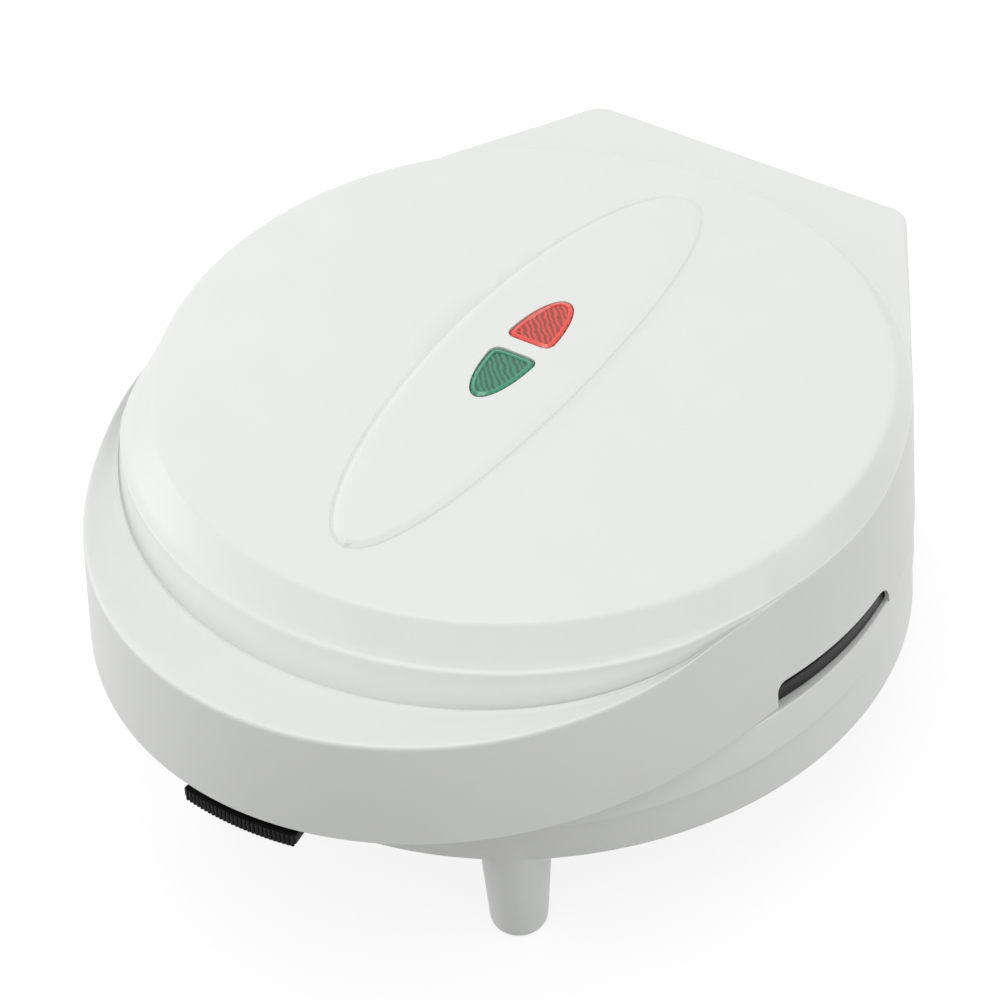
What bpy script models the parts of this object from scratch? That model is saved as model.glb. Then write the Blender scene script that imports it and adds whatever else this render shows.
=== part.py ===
# Round waffle maker with five heart cavities: a hinged lid and a base on four legs,
# each a moulded shell around a cast cooking plate, a heating element and a reflector.
import math

import bmesh
import bpy
from mathutils import Matrix, Vector

# Fits and cutting allowances, metres
GAP = 0.0003
OVERRUN = 0.002
WALL = 0.0024
RIM_WALL = 0.0013

# Body outline, seen from above; angles run from the front, in radians
DISC_RADIUS = 0.093
BAND_RUN = 0.0038
SIDE_STEP = 0.0018
REAR_BOX = 0.0139
FOOT_RADIUS = DISC_RADIUS + BAND_RUN
SIDE_RADIUS = FOOT_RADIUS + SIDE_STEP
REAR_REACH = SIDE_RADIUS + REAR_BOX
REAR_HALF_WIDTH = 0.0469
REAR_CORNER = 0.008
LID_BULGE = 0.032
LID_SPREAD = math.radians(71)
LID_POWER = 1.55
LID_DRAFT = 0.001
BASE_SPREAD = math.radians(100)
BASE_POWER = 2.0

# Heights above the ground
PARTING_Z = 0.0575
RIM_Z = 0.1012
DOME_RISE = 0.0067
FOOT_DROP = 0.0094
DECK_DROP = 0.0058
CREST_DROP = 0.0155
SHELF_DROP = 0.0123
VALLEY_STEP = 0.0012
RIM_ROUND = 0.0012
EDGE_ROUND = 0.0018
BASE_UNDERSIDE_Z = 0.0290

# Oval panel and lamp lenses on the lid
PANEL_MARGIN = 0.014
PANEL_LENGTH = 2 * (DISC_RADIUS - PANEL_MARGIN)
PANEL_WIDTH = 0.0404
PANEL_RISE = 0.0005
LENS_LENGTH = 0.0191
LENS_HALF_WIDTH = 0.0066
LENS_SPACING = 0.0047
LENS_FLANGE = 0.0012
LENS_CROWN = 0.0009
LENS_BEVEL = 0.0016

# Lid's inside
POCKET_ROOF_DROP = 0.0183
POCKET_SPREAD = math.radians(52)
HINGE_ROOM_SPREAD = math.radians(42)
SLOT_CENTRE = math.radians(85.3)
SLOT_LENGTH = 0.0454
SLOT_HEIGHT = 0.007
SLOT_DEPTH = 0.009
SLOT_CORNER = 0.003
WIRE_HOLE_RADIUS = 0.0032

# Base
BASE_TOP_INSET = 0.0006
BASE_TOP_BULGE = 0.0082
CREASE_DROP = 0.0128
CREASE_BULGE = 0.0102
CREASE_STEP = 0.0008
BOWL_TOP_BULGE = 0.0090
BOWL_BOTTOM_BULGE = 0.0033
LIP_THICKNESS = 0.0022
LIP_WIDTH = 0.0028

# Legs
LEG_TOP_RADIUS = 0.0091
LEG_TIP_RADIUS = 0.0073
LEG_ROUND = 0.0036
FRONT_LEG_INSET = 0.0059
FRONT_LEG_REACH = SIDE_RADIUS - FRONT_LEG_INSET
FRONT_LEG_TURN = math.radians(30)
REAR_LEG_X = 0.036
REAR_LEG_INSET = 0.0125
LEG_ROOT = 0.004
REAR_LEG_BACK = REAR_REACH - REAR_LEG_INSET

# Cooking plates; both are the same casting
PLATE_CLEARANCE = 0.0004
PLATE_RADIUS = SIDE_RADIUS - RIM_WALL - PLATE_CLEARANCE
PLATE_FLANGE = 0.0034
LOWER_FACE_Z = 0.0610
HEART_COUNT = 5
HEART_LENGTH = 0.066
HEART_TIP_REACH = 0.005
HEART_DEPTH = 0.008
HEART_FLOOR = 0.0025
FLOOR_SCALE_SHARE = 0.88
BACK_SCALE_SHARE = 1.08
BACK_FLOOR_SHARE = 0.96
RIB_HEIGHT = 0.0033
RIB_WIDTH = 0.0024
RIB_PITCH = 0.015
HEART_STEPS = 18
HEART_SPAN_SHARE = 28.97
HEART_TIP_SHARE = 17

# Plate screws and their posts
SCREW_INSET = 0.0124
SCREW_REACH = PLATE_RADIUS - SCREW_INSET
SCREW_TURNS = (0.0, math.radians(144), math.radians(216))
SCREW_RADIUS = 0.0015
SCREW_CLEARANCE = 0.0004
SCREW_LENGTH = 0.0125
SCREW_HEAD_RADIUS = 0.003
SCREW_HEAD_HEIGHT = 0.0017
POST_RADIUS = 0.004
PILOT_DEPTH = 0.010

# Reflectors
SHEET = 0.0008
PAN_INSET = 0.0064
PAN_FLANGE = 0.012
PAN_FLANGE_RADIUS = PLATE_RADIUS - PAN_INSET
PAN_RADIUS = PAN_FLANGE_RADIUS - PAN_FLANGE
PAN_DEPTH = 0.0205
PIN_HOLE_RADIUS = 0.0048

# Heating elements
ELEMENT_RING_RADIUS = 0.050
ELEMENT_RADIUS = 0.0032
ELEMENT_OPENING = math.radians(16)
ELEMENT_BEND = 0.006
ELEMENT_TAIL = 0.0265

# Hinge
KNUCKLE_RADIUS = 0.0062
HINGE_INSET = 0.0066
HINGE_PIN_RADIUS = 0.002
LEAD_NOTCH_HALF = 0.0085
BARREL_LENGTH = 0.010
KNUCKLE_LENGTH = 0.0115
HINGE_CUT_HEIGHT = 0.009
HINGE_CUT_LEAD = 0.002
KNUCKLE_SLOT_DEPTH = 0.0085
LEAD_NOTCH_DEPTH = 0.0045
KNUCKLE_NECK = 0.013
BARREL_NECK = 0.005

# Latch
LATCH_INSET = 0.0101
LATCH_PIVOT_FRONT = SIDE_RADIUS + LID_BULGE - LATCH_INSET
LATCH_PIVOT_DROP = 0.027
LATCH_HALF_WIDTH = 0.0165
LATCH_HUB_RADIUS = 0.0036
LATCH_THICKNESS = 0.003
LATCH_LENGTH = 0.024
LATCH_HOOK_REACH = 0.0078
LATCH_HOOK_HEIGHT = 0.0026
LATCH_PIN_RADIUS = 0.0015
LATCH_SPRING_ROOM = 0.0085
GRIP_DROP = 0.0178
GRIP_HEIGHT = 0.0045
GRIP_INSET = 0.0009
GRIP_TAPER = 0.0018
GRIP_RIB_DEPTH = 0.0005
GRIP_RIB_COUNT = 17
EAR_THICKNESS = 0.0028
EAR_HALF_DEPTH = 0.0042
CATCH_HALF_WIDTH = 0.012
CATCH_HEIGHT = 0.0026
SPRING_WIRE = 0.0004
SPRING_RADIUS = 0.0029
SPRING_TURNS = 4
SPRING_ARM = 0.009

# Lamp carrier
LAMP_RADIUS = 0.0027
LAMP_LENGTH = 0.013
CARRIER_DROP = 0.0102
CARRIER_THICKNESS = 0.0016
CARRIER_HALF_WIDTH = 0.009
CARRIER_HALF_LENGTH = 0.032
CARRIER_BOSS_Y = 0.0275
CARRIER_BOSS_RADIUS = 0.003
CARRIER_SCREW_RADIUS = 0.0012
CARRIER_SCREW_LENGTH = 0.0065
CARRIER_HEAD_RADIUS = 0.0024
CARRIER_HEAD_HEIGHT = 0.0014

# Thermostat, thermal fuse, terminal block and cord inlet
THERMOSTAT_RADIUS = 0.0085
THERMOSTAT_HEIGHT = 0.0075
THERMOSTAT_TAB = 0.0032
THERMOSTAT_TAB_SPACING = 0.010
TAB_HEIGHT = 0.0045
FUSE_RADIUS = 0.0022
FUSE_LENGTH = 0.016
FUSE_LEAD_RADIUS = 0.0006
FUSE_LEAD_LENGTH = 0.006
FUSE_PLACE = 0.030
BLOCK_SIZE = (0.026, 0.011, 0.0095)
BLOCK_X = 0.028
BLOCK_INSET = 0.0275
BLOCK_PLACE = (BLOCK_X, REAR_REACH - BLOCK_INSET)
BLOCK_HOLE_RADIUS = 0.0022
INLET_X = 0.026
INLET_Z = 0.041
INLET_RADIUS = 0.0046
BUSH_BORE_RADIUS = 0.0033
BUSH_FLANGE_RADIUS = 0.0062
BUSH_FLANGE = 0.0012

# Leads
LEAD_RADIUS = 0.0019
LEAD_X = 0.0052

# Facets
TURN_STEPS = 36
POST_STEPS = 12
LENS_STEPS = 10

DISC_Y = (SIDE_RADIUS + LID_BULGE - REAR_REACH - BUSH_FLANGE - GAP) / 2
UPPER_FACE_Z = LOWER_FACE_Z + GAP
HINGE_Y = DISC_Y + REAR_REACH - HINGE_INSET
LATCH_Y = DISC_Y - LATCH_PIVOT_FRONT
LATCH_Z = RIM_Z - LATCH_PIVOT_DROP
LID_EDGE_Z = PARTING_Z + GAP / 2
BASE_TOP_Z = PARTING_Z - GAP / 2
SIDE_TURN = (math.atan2(REAR_HALF_WIDTH, REAR_REACH)
             + math.acos(SIDE_RADIUS / math.hypot(REAR_HALF_WIDTH, REAR_REACH)))


# Scene, materials and objects

def clear_scene():
    for item in list(bpy.data.objects):
        bpy.data.objects.remove(item, do_unlink=True)


def new_collection(name):
    found = bpy.data.collections.new(name)
    bpy.context.scene.collection.children.link(found)
    return found


def new_material(name, colour, roughness, metallic=0.0):
    made = bpy.data.materials.new(name)
    made.use_nodes = True
    shader = made.node_tree.nodes["Principled BSDF"]
    shader.inputs["Base Color"].default_value = (*colour, 1.0)
    shader.inputs["Roughness"].default_value = roughness
    shader.inputs["Metallic"].default_value = metallic
    made.diffuse_color = (*colour, 1.0)
    return made


def evaluated_mesh(item):
    """The object's mesh with its modifiers applied, in its own coordinates."""
    bpy.context.view_layer.update()
    graph = bpy.context.evaluated_depsgraph_get()
    return bpy.data.meshes.new_from_object(item.evaluated_get(graph))


def add_object(name, mesh, place=(0.0, 0.0, 0.0)):
    item = bpy.data.objects.new(name, mesh)
    item.location = place
    bpy.context.scene.collection.objects.link(item)
    return item


def move_to(collection, item):
    for owner in list(item.users_collection):
        owner.objects.unlink(item)
    collection.objects.link(item)


def make_part(item, material, parent=None):
    """File an object as a part of the appliance, under the empty that moves it."""
    move_to(parts, item)
    item.data.materials.clear()
    item.data.materials.append(material)
    if parent:
        bpy.context.view_layer.update()
        item.parent = parent
        item.matrix_parent_inverse = parent.matrix_world.inverted()
    return item


def make_tool(item):
    """File an object as a cutter or guide that isn't part of the appliance."""
    move_to(tools, item)
    item.hide_render = True
    item.display_type = "WIRE"
    return item


def combine(item, tool, operation):
    make_tool(tool)
    step = item.modifiers.new(tool.name, "BOOLEAN")
    step.operation = operation
    step.solver = "EXACT"
    step.object = tool
    return item


def cut(item, tool):
    return combine(item, tool, "DIFFERENCE")


def join(item, tool):
    return combine(item, tool, "UNION")


# Shapes

def box(name, low, high):
    """A box between two opposite corners."""
    mesh = bpy.data.meshes.new(name)
    shape = bmesh.new()
    bmesh.ops.create_cube(shape, size=1.0)
    low, high = Vector(low), Vector(high)
    size = high - low
    bmesh.ops.scale(shape, vec=size, verts=shape.verts)
    bmesh.ops.translate(shape, vec=(low + high) / 2, verts=shape.verts)
    shape.to_mesh(mesh)
    shape.free()
    return add_object(name, mesh)


def cylinder(name, radius, low, high, steps=POST_STEPS):
    """A round bar from one end point to the other."""
    low, high = Vector(low), Vector(high)
    along = high - low
    mesh = bpy.data.meshes.new(name)
    shape = bmesh.new()
    bmesh.ops.create_cone(shape, cap_ends=True, segments=steps, radius1=radius, radius2=radius,
                          depth=along.length)
    turn = along.to_track_quat("Z", "Y").to_matrix().to_4x4()
    bmesh.ops.transform(shape, matrix=Matrix.Translation((low + high) / 2) @ turn, verts=shape.verts)
    shape.to_mesh(mesh)
    shape.free()
    item = add_object(name, mesh)
    shade_round(item)
    return item


def shade_round(item):
    item.data.shade_smooth()
    item.data.set_sharp_from_angle(angle=math.radians(35))


def turned(name, profile, steps=TURN_STEPS, ring=False):
    """A profile of (radius, height) points, outer side running down, turned about +Z."""
    mesh = bpy.data.meshes.new(name)
    points = [(radius, 0.0, height) for radius, height in profile]
    edges = [(index, index + 1) for index in range(len(points) - 1)]
    if ring:
        edges.append((len(points) - 1, 0))
    mesh.from_pydata(points, edges, [])
    item = add_object(name, mesh)
    screw = item.modifiers.new("Turn", "SCREW")
    screw.steps = screw.render_steps = steps
    screw.use_merge_vertices = True
    screw.merge_threshold = 0.00001
    screw.use_smooth_shade = True
    item.data = evaluated_mesh(item)
    item.modifiers.clear()
    shade_round(item)
    return item


def slab(name, outline, low, high):
    """A flat outline of (x, y) points, filled and raised between two heights."""
    flat = bpy.data.curves.new(name, "CURVE")
    flat.dimensions = "2D"
    flat.fill_mode = "BOTH"
    flat.extrude = (high - low) / 2
    line = flat.splines.new("POLY")
    line.points.add(len(outline) - 1)
    for point, (x, y) in zip(line.points, outline):
        point.co = (x, y, 0.0, 1.0)
    line.use_cyclic_u = True
    return as_mesh(add_object(name, flat, (0.0, 0.0, (low + high) / 2)))


def across_slab(name, outline, half_width, middle=0.0):
    """An outline of (y, z) points, raised along X on both sides of a middle."""
    item = slab(name, outline, -half_width, half_width)
    turn = Matrix(((0, 0, 1, middle), (1, 0, 0, 0), (0, 1, 0, 0), (0, 0, 0, 1)))
    item.data.transform(turn @ item.matrix_world)
    item.location = (0.0, 0.0, 0.0)
    return item


def as_mesh(item):
    """Turn a curve object into a closed mesh object of the same name and place."""
    mesh = evaluated_mesh(item)
    shape = bmesh.new()
    shape.from_mesh(mesh)
    bmesh.ops.remove_doubles(shape, verts=shape.verts, dist=0.000001)
    bmesh.ops.recalc_face_normals(shape, faces=shape.faces)
    shape.to_mesh(mesh)
    shape.free()
    name, place = item.name, item.matrix_world.copy()
    bpy.data.objects.remove(item)
    made = add_object(name, mesh)
    made.matrix_world = place
    bpy.context.view_layer.update()
    return made


def tube(name, points, radius):
    """A round wire along a list of points, its ends capped."""
    path = bpy.data.curves.new(name, "CURVE")
    path.dimensions = "3D"
    path.bevel_depth = radius
    path.bevel_resolution = 2
    path.use_fill_caps = True
    line = path.splines.new("POLY")
    line.points.add(len(points) - 1)
    for point, place in zip(line.points, points):
        point.co = (*place, 1.0)
    return add_object(name, path)


def smooth_path(knots, steps=3):
    """Points of a smooth curve through the knots, for a wire's route."""
    knots = [Vector(knot) for knot in knots]
    ends = [2 * knots[0] - knots[1], *knots, 2 * knots[-1] - knots[-2]]
    points = []
    for before, start, stop, after in zip(ends, ends[1:], ends[2:], ends[3:]):
        for step in range(steps):
            t = step / steps
            bend = 2 * start + t * (stop - before)
            bend += t * t * (2 * before - 5 * start + 4 * stop - after)
            bend += t * t * t * (3 * start - before - 3 * stop + after)
            points.append(bend / 2)
    points.append(knots[-1])
    return points


def loft(name, rings):
    """A closed skin over rings of points from top to bottom; a ring of one point is a pole."""
    mesh = bpy.data.meshes.new(name)
    shape = bmesh.new()
    loops = [[shape.verts.new(point) for point in ring] for ring in rings]
    for upper, lower in zip(loops, loops[1:]):
        count = max(len(upper), len(lower))
        for index in range(count):
            after = (index + 1) % count
            corners = [upper[index % len(upper)], lower[index % len(lower)],
                       lower[after % len(lower)], upper[after % len(upper)]]
            shape.faces.new(list(dict.fromkeys(corners)))
    for loop in (loops[0], loops[-1]):
        if len(loop) > 1:
            shape.faces.new(loop)
    bmesh.ops.recalc_face_normals(shape, faces=shape.faces)
    shape.to_mesh(mesh)
    shape.free()
    item = add_object(name, mesh)
    shade_round(item)
    return item


# The body's outline

def rear_corner():
    """Centre of the rounded rear corner, across and back from the disc's centre."""
    back = REAR_REACH - REAR_CORNER
    across = (SIDE_RADIUS - REAR_CORNER - back * math.cos(SIDE_TURN)) / math.sin(SIDE_TURN)
    return across, back


def corner_turns(inset=0.0):
    """Where the rounded rear corner starts and ends, as angles from straight back."""
    across, back = rear_corner()
    radius = REAR_CORNER - inset
    start = math.atan2(across, back + radius)
    end = math.atan2(across + radius * math.sin(SIDE_TURN), back + radius * math.cos(SIDE_TURN))
    return start, end


def box_reach(angle, inset=0.0):
    """Distance from the disc's centre to the round body and its rear hinge box."""
    turn = math.pi - abs(angle)
    start, end = corner_turns(inset)
    if turn < start:
        return (REAR_REACH - inset) / math.cos(turn)
    if turn < end:
        across, back = rear_corner()
        along = across * math.sin(turn) + back * math.cos(turn)
        radius = REAR_CORNER - inset
        return along + math.sqrt(radius ** 2 - across ** 2 - back ** 2 + along ** 2)
    if turn < SIDE_TURN:
        return (SIDE_RADIUS - inset) / math.cos(SIDE_TURN - turn)
    return SIDE_RADIUS - inset


def bulge_share(angle, spread, power):
    """How much of the front bulge is left at an angle: 1 in front, 0 past its spread."""
    if abs(angle) >= spread:
        return 0.0
    return math.cos(math.pi / 2 * angle / spread) ** power


def lid_reach(angle, inset=0.0):
    return box_reach(angle, inset) + LID_BULGE * bulge_share(angle, LID_SPREAD, LID_POWER)


def base_reach(angle, bulge, inset=0.0):
    return box_reach(angle, inset) + bulge * bulge_share(angle, BASE_SPREAD, BASE_POWER)


def plan_angles():
    """Angles of the outline's points, right half and then left half."""
    start, end = corner_turns()
    marks = ((0.0, 12), (LID_SPREAD, 6), (math.pi - SIDE_TURN, 2), (math.pi - end, 3),
             (math.pi - start, 2), (math.pi, 0))
    right = []
    for (low, count), (high, _) in zip(marks, marks[1:]):
        right += [low + (high - low) * step / count for step in range(count)]
    return right + [math.pi] + [-angle for angle in reversed(right[1:])]


def plan_point(angle, reach, height):
    return Vector((reach * math.sin(angle), DISC_Y - reach * math.cos(angle), height))


def plan_ring(reach, height):
    """A ring round the body from a reach and a height, each a function of the angle."""
    return [plan_point(angle, reach(angle), height(angle)) for angle in plan_angles()]


def level(height):
    return lambda angle: height


def blend(low, high, share):
    return low + (high - low) * share


def ease(share):
    share = min(1.0, max(0.0, share))
    return share * share * (3 - 2 * share)


# Lid shell

def dome_height(reach):
    return RIM_Z + DOME_RISE * (1 - (reach / DISC_RADIUS) ** 2)


def depth_share(angle):
    """How far the front's steps have come down from the band's foot."""
    return 1 - (1 - bulge_share(angle, LID_SPREAD, LID_POWER)) ** 3


def deck_z(angle):
    """Height of the band's foot, which rises to the deck of the rear hinge box."""
    rise = ease((abs(angle) - math.pi / 2) / (SIDE_TURN / 2))
    return RIM_Z - blend(FOOT_DROP, DECK_DROP, rise)


def crest_z(angle):
    return blend(deck_z(angle), RIM_Z - CREST_DROP, depth_share(angle))


def valley_z(angle):
    share = depth_share(angle)
    return crest_z(angle) - VALLEY_STEP * 4 * share * (1 - share)


def shelf_z(angle):
    return blend(deck_z(angle), RIM_Z - SHELF_DROP, depth_share(angle))


def across_shelf(share):
    """A reach between the band's foot and the lid's outer edge."""
    return lambda angle: blend(FOOT_RADIUS, lid_reach(angle, LID_DRAFT), share)


def lid_rings():
    dome_shares = (0.5, 0.85)
    rings = [[plan_point(0.0, 0.0, dome_height(0.0))]]
    for share in dome_shares:
        rings.append(plan_ring(level(DISC_RADIUS * share), level(dome_height(DISC_RADIUS * share))))
    crown = DISC_RADIUS - RIM_ROUND
    slope = (FOOT_RADIUS - DISC_RADIUS) / FOOT_DROP
    rings.append(plan_ring(level(crown), level(dome_height(crown))))
    rings.append(plan_ring(level(DISC_RADIUS + RIM_ROUND * slope), level(RIM_Z - RIM_ROUND)))
    rings.append(plan_ring(level(FOOT_RADIUS), deck_z))
    crest_share, valley_share, shelf_share = 0.32, 0.42, 0.7
    rings.append(plan_ring(across_shelf(crest_share), crest_z))
    rings.append(plan_ring(across_shelf(valley_share), valley_z))
    rings.append(plan_ring(across_shelf(shelf_share),
                           lambda angle: blend(valley_z(angle), shelf_z(angle), 1 / 3)))
    edge_share = 0.94
    rings.append(plan_ring(across_shelf(edge_share), shelf_z))
    rings.append(plan_ring(lambda angle: lid_reach(angle, LID_DRAFT),
                           lambda angle: shelf_z(angle) - EDGE_ROUND))
    rings.append(plan_ring(lid_reach, level(LID_EDGE_Z)))
    return rings


def oval_panel():
    """A slightly raised oval that follows the dome."""
    heights = [dome_height(DISC_RADIUS * share) + PANEL_RISE for share in (0.0, 0.3, 0.6, 0.9)]
    radii = [DISC_RADIUS * share for share in (0.0, 0.3, 0.6, 0.9)]
    profile = list(zip(radii, heights)) + [(radii[-1], RIM_Z - WALL), (0.0, RIM_Z - WALL)]
    skin = turned("oval_dome", profile, 24)
    skin.location = (0.0, DISC_Y, 0.0)
    steps = 28
    turns = [2 * math.pi * step / steps for step in range(steps)]
    outline = [(PANEL_WIDTH / 2 * math.cos(turn), DISC_Y + PANEL_LENGTH / 2 * math.sin(turn))
               for turn in turns]
    edge = slab("oval_edge", outline, RIM_Z - WALL - OVERRUN, RIM_Z + DOME_RISE + OVERRUN)
    combine(skin, edge, "INTERSECT")
    return skin


def lid_cavity():
    """Turned hollow: recess for the plates, seat lip, and the room under the dome."""
    seat = UPPER_FACE_Z + PLATE_FLANGE + GAP
    room = seat + LIP_THICKNESS
    wall_top = RIM_Z - FOOT_DROP - WALL
    crown = DISC_RADIUS - WALL
    lip = SIDE_RADIUS - WALL - LIP_WIDTH - WALL
    roof = [(crown * share, dome_height(crown * share) - WALL) for share in (0.0, 0.25, 0.5, 0.8)]
    profile = [*roof, (crown, RIM_Z - WALL), (SIDE_RADIUS - WALL - LID_DRAFT, wall_top),
               (SIDE_RADIUS - WALL - LID_DRAFT, room), (lip, room), (lip, seat),
               (SIDE_RADIUS - RIM_WALL, seat), (SIDE_RADIUS - RIM_WALL, PARTING_Z - OVERRUN),
               (0.0, PARTING_Z - OVERRUN)]
    hollow = turned("lid_cavity", profile)
    hollow.location = (0.0, DISC_Y, 0.0)
    return hollow


def crescent(name, near, far, spread, centre, low, high, steps=16):
    """A slab between two reaches over a span of angles."""
    turns = [centre + spread * (2 * step / steps - 1) for step in range(steps + 1)]
    outer = [plan_point(turn, far(turn), 0.0) for turn in turns]
    inner = [plan_point(turn, near(turn), 0.0) for turn in reversed(turns)]
    return slab(name, [(point.x, point.y) for point in outer + inner], low, high)


def slot_cutter(side):
    """Notch in the lid's lower edge, with rounded upper corners."""
    item = box("slot_cutter", (-SLOT_LENGTH / 2, -SLOT_DEPTH / 2, -SLOT_HEIGHT),
               (SLOT_LENGTH / 2, SLOT_DEPTH / 2, SLOT_HEIGHT))
    shape = bmesh.new()
    shape.from_mesh(item.data)
    upright = [edge for edge in shape.edges
               if abs(edge.verts[0].co.x - edge.verts[1].co.x) < GAP
               and abs(edge.verts[0].co.z - edge.verts[1].co.z) < GAP]
    bmesh.ops.bevel(shape, geom=upright, offset=SLOT_CORNER, segments=3, profile=0.5,
                    affect="EDGES")
    shape.to_mesh(item.data)
    shape.free()
    item.location = plan_point(side * SLOT_CENTRE, SIDE_RADIUS - WALL + OVERRUN / 2, LID_EDGE_Z)
    item.rotation_euler = (0.0, 0.0, side * SLOT_CENTRE)
    return item


def knuckle_outline(up):
    """Half-round end about the hinge axis with a straight neck, as (y, z) points."""
    turns = [math.pi * step / 12 for step in range(13)]
    arc = [(HINGE_Y + KNUCKLE_RADIUS * math.cos(turn),
            PARTING_Z - up * KNUCKLE_RADIUS * math.sin(turn)) for turn in turns]
    neck = KNUCKLE_NECK if up > 0 else -BARREL_NECK
    return arc + [(HINGE_Y - KNUCKLE_RADIUS, PARTING_Z + neck),
                  (HINGE_Y + KNUCKLE_RADIUS, PARTING_Z + neck)]


def hinge_spans():
    """Starts of the inner barrel, the lid's knuckle and the outer barrel on the right side."""
    inner = LEAD_NOTCH_HALF + GAP
    knuckle = inner + BARREL_LENGTH + GAP
    outer = knuckle + KNUCKLE_LENGTH + GAP
    return inner, knuckle, outer


def hinge_bore(name):
    reach = hinge_spans()[2] + BARREL_LENGTH - OVERRUN
    bore = HINGE_PIN_RADIUS + GAP
    return cylinder(name, bore, (-reach, HINGE_Y, PARTING_Z), (reach, HINGE_Y, PARTING_Z))


def latch_ear(side):
    start = LATCH_HALF_WIDTH + GAP
    low, high = sorted((side * start, side * (start + EAR_THICKNESS)))
    roof = RIM_Z - POCKET_ROOF_DROP
    return box("latch_ear", (low, LATCH_Y - EAR_HALF_DEPTH, LATCH_Z - EAR_HALF_DEPTH),
               (high, LATCH_Y + EAR_HALF_DEPTH, roof + WALL / 2))


def lens_outline(side, outset=0.0):
    """Half oval on one side of the disc's centre, pointing away from it."""
    half = LENS_HALF_WIDTH + outset
    length = LENS_LENGTH + outset
    start = DISC_Y + side * (LENS_SPACING / 2 - outset)
    turns = [math.pi * step / LENS_STEPS for step in range(LENS_STEPS + 1)]
    return [(half * math.cos(turn), start + side * (length + outset) * math.sin(turn))
            for turn in turns]


def screw_place(turn):
    """Position of a plate screw, seen from above."""
    spot = plan_point(turn, SCREW_REACH, 0.0)
    return spot.x, spot.y


def post_cuts(item, up, seat):
    """Pilot holes in the three posts that take the plate's screws."""
    for turn in SCREW_TURNS:
        x, y = screw_place(turn)
        cut(item, cylinder("pilot_cutter", SCREW_RADIUS + SCREW_CLEARANCE,
                           (x, y, seat - up * OVERRUN), (x, y, seat + up * PILOT_DEPTH)))


def post_seat(face, up):
    """Where a post ends: behind the plate's flange and the reflector's flange."""
    return face + up * (PLATE_FLANGE + SHEET + 2 * GAP)


def lid_shell():
    shell = loft("lid_shell", lid_rings())
    join(shell, oval_panel())
    cut(shell, lid_cavity())
    below = PARTING_Z - OVERRUN
    pocket = crescent("front_pocket", level(SIDE_RADIUS), lambda a: lid_reach(a, LID_DRAFT + WALL),
                      POCKET_SPREAD, 0.0, below, RIM_Z - POCKET_ROOF_DROP)
    cut(shell, pocket)
    cut(shell, crescent("hinge_room", level(SIDE_RADIUS), lambda a: box_reach(a, WALL + LID_DRAFT),
                        HINGE_ROOM_SPREAD, math.pi, below, RIM_Z - DECK_DROP - WALL))
    cut(shell, box("hinge_cut", (-SIDE_RADIUS, HINGE_Y - HINGE_CUT_LEAD, below),
                   (SIDE_RADIUS, DISC_Y + REAR_REACH + OVERRUN, PARTING_Z + HINGE_CUT_HEIGHT)))
    start = hinge_spans()[1]
    seat = post_seat(UPPER_FACE_Z, 1)
    for side in (1, -1):
        middle = side * (start + KNUCKLE_LENGTH / 2)
        join(shell, across_slab("lid_knuckle", knuckle_outline(1), KNUCKLE_LENGTH / 2, middle))
        join(shell, latch_ear(side))
        cut(shell, slot_cutter(side))
        top = dome_height(CARRIER_BOSS_Y)
        spot = DISC_Y + side * CARRIER_BOSS_Y
        join(shell, cylinder("carrier_boss", CARRIER_BOSS_RADIUS,
                             (0.0, spot, carrier_z() + GAP), (0.0, spot, top - WALL / 2)))
        cut(shell, cylinder("boss_hole", CARRIER_SCREW_RADIUS + GAP,
                            (0.0, spot, carrier_z() - OVERRUN), (0.0, spot, top - WALL)))
        cut(shell, slab("lens_window", lens_outline(side, GAP),
                        RIM_Z, RIM_Z + DOME_RISE + OVERRUN))
    for turn in SCREW_TURNS:
        x, y = screw_place(turn)
        join(shell, cylinder("lid_post", POST_RADIUS, (x, y, seat), (x, y, RIM_Z - GAP)))
    post_cuts(shell, 1, seat)
    cut(shell, hinge_bore("lid_bore"))
    ear = LATCH_HALF_WIDTH + EAR_THICKNESS + OVERRUN
    cut(shell, cylinder("latch_bore", LATCH_PIN_RADIUS + GAP,
                        (-ear, LATCH_Y, LATCH_Z), (ear, LATCH_Y, LATCH_Z)))
    cut(shell, cylinder("wire_hole", WIRE_HOLE_RADIUS, (LEAD_X, lead_wall_y() - WALL, lead_z()),
                        (LEAD_X, lead_wall_y() + 2 * WALL, lead_z())))
    return make_part(shell, white_plastic, lid_hinge)


def lead_wall_y():
    """The wall between the room under the dome and the hinge room."""
    return DISC_Y + SIDE_RADIUS - WALL


def lead_z():
    """Height at which the lid's lead passes over the upper reflector."""
    return UPPER_FACE_Z + PAN_DEPTH + SHEET + WIRE_HOLE_RADIUS + LEAD_RADIUS


# Lamps

def carrier_z():
    """Top of the lamp carrier."""
    return RIM_Z + DOME_RISE - CARRIER_DROP


def lens(name, side, material):
    """Lens with a retaining flange under the dome and a bevelled crown above it."""
    roof = dome_height(LENS_SPACING / 2 + LENS_LENGTH) - WALL - GAP
    top = RIM_Z + DOME_RISE + LENS_CROWN
    sections = ((LENS_FLANGE, roof - LENS_FLANGE), (LENS_FLANGE, roof), (0.0, roof),
                (0.0, top - LENS_CROWN / 2), (-LENS_BEVEL, top))
    rings = [[Vector((x, y, height)) for x, y in lens_outline(side, outset)]
             for outset, height in reversed(sections)]
    return make_part(loft(name, rings), material, lid_hinge)


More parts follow.
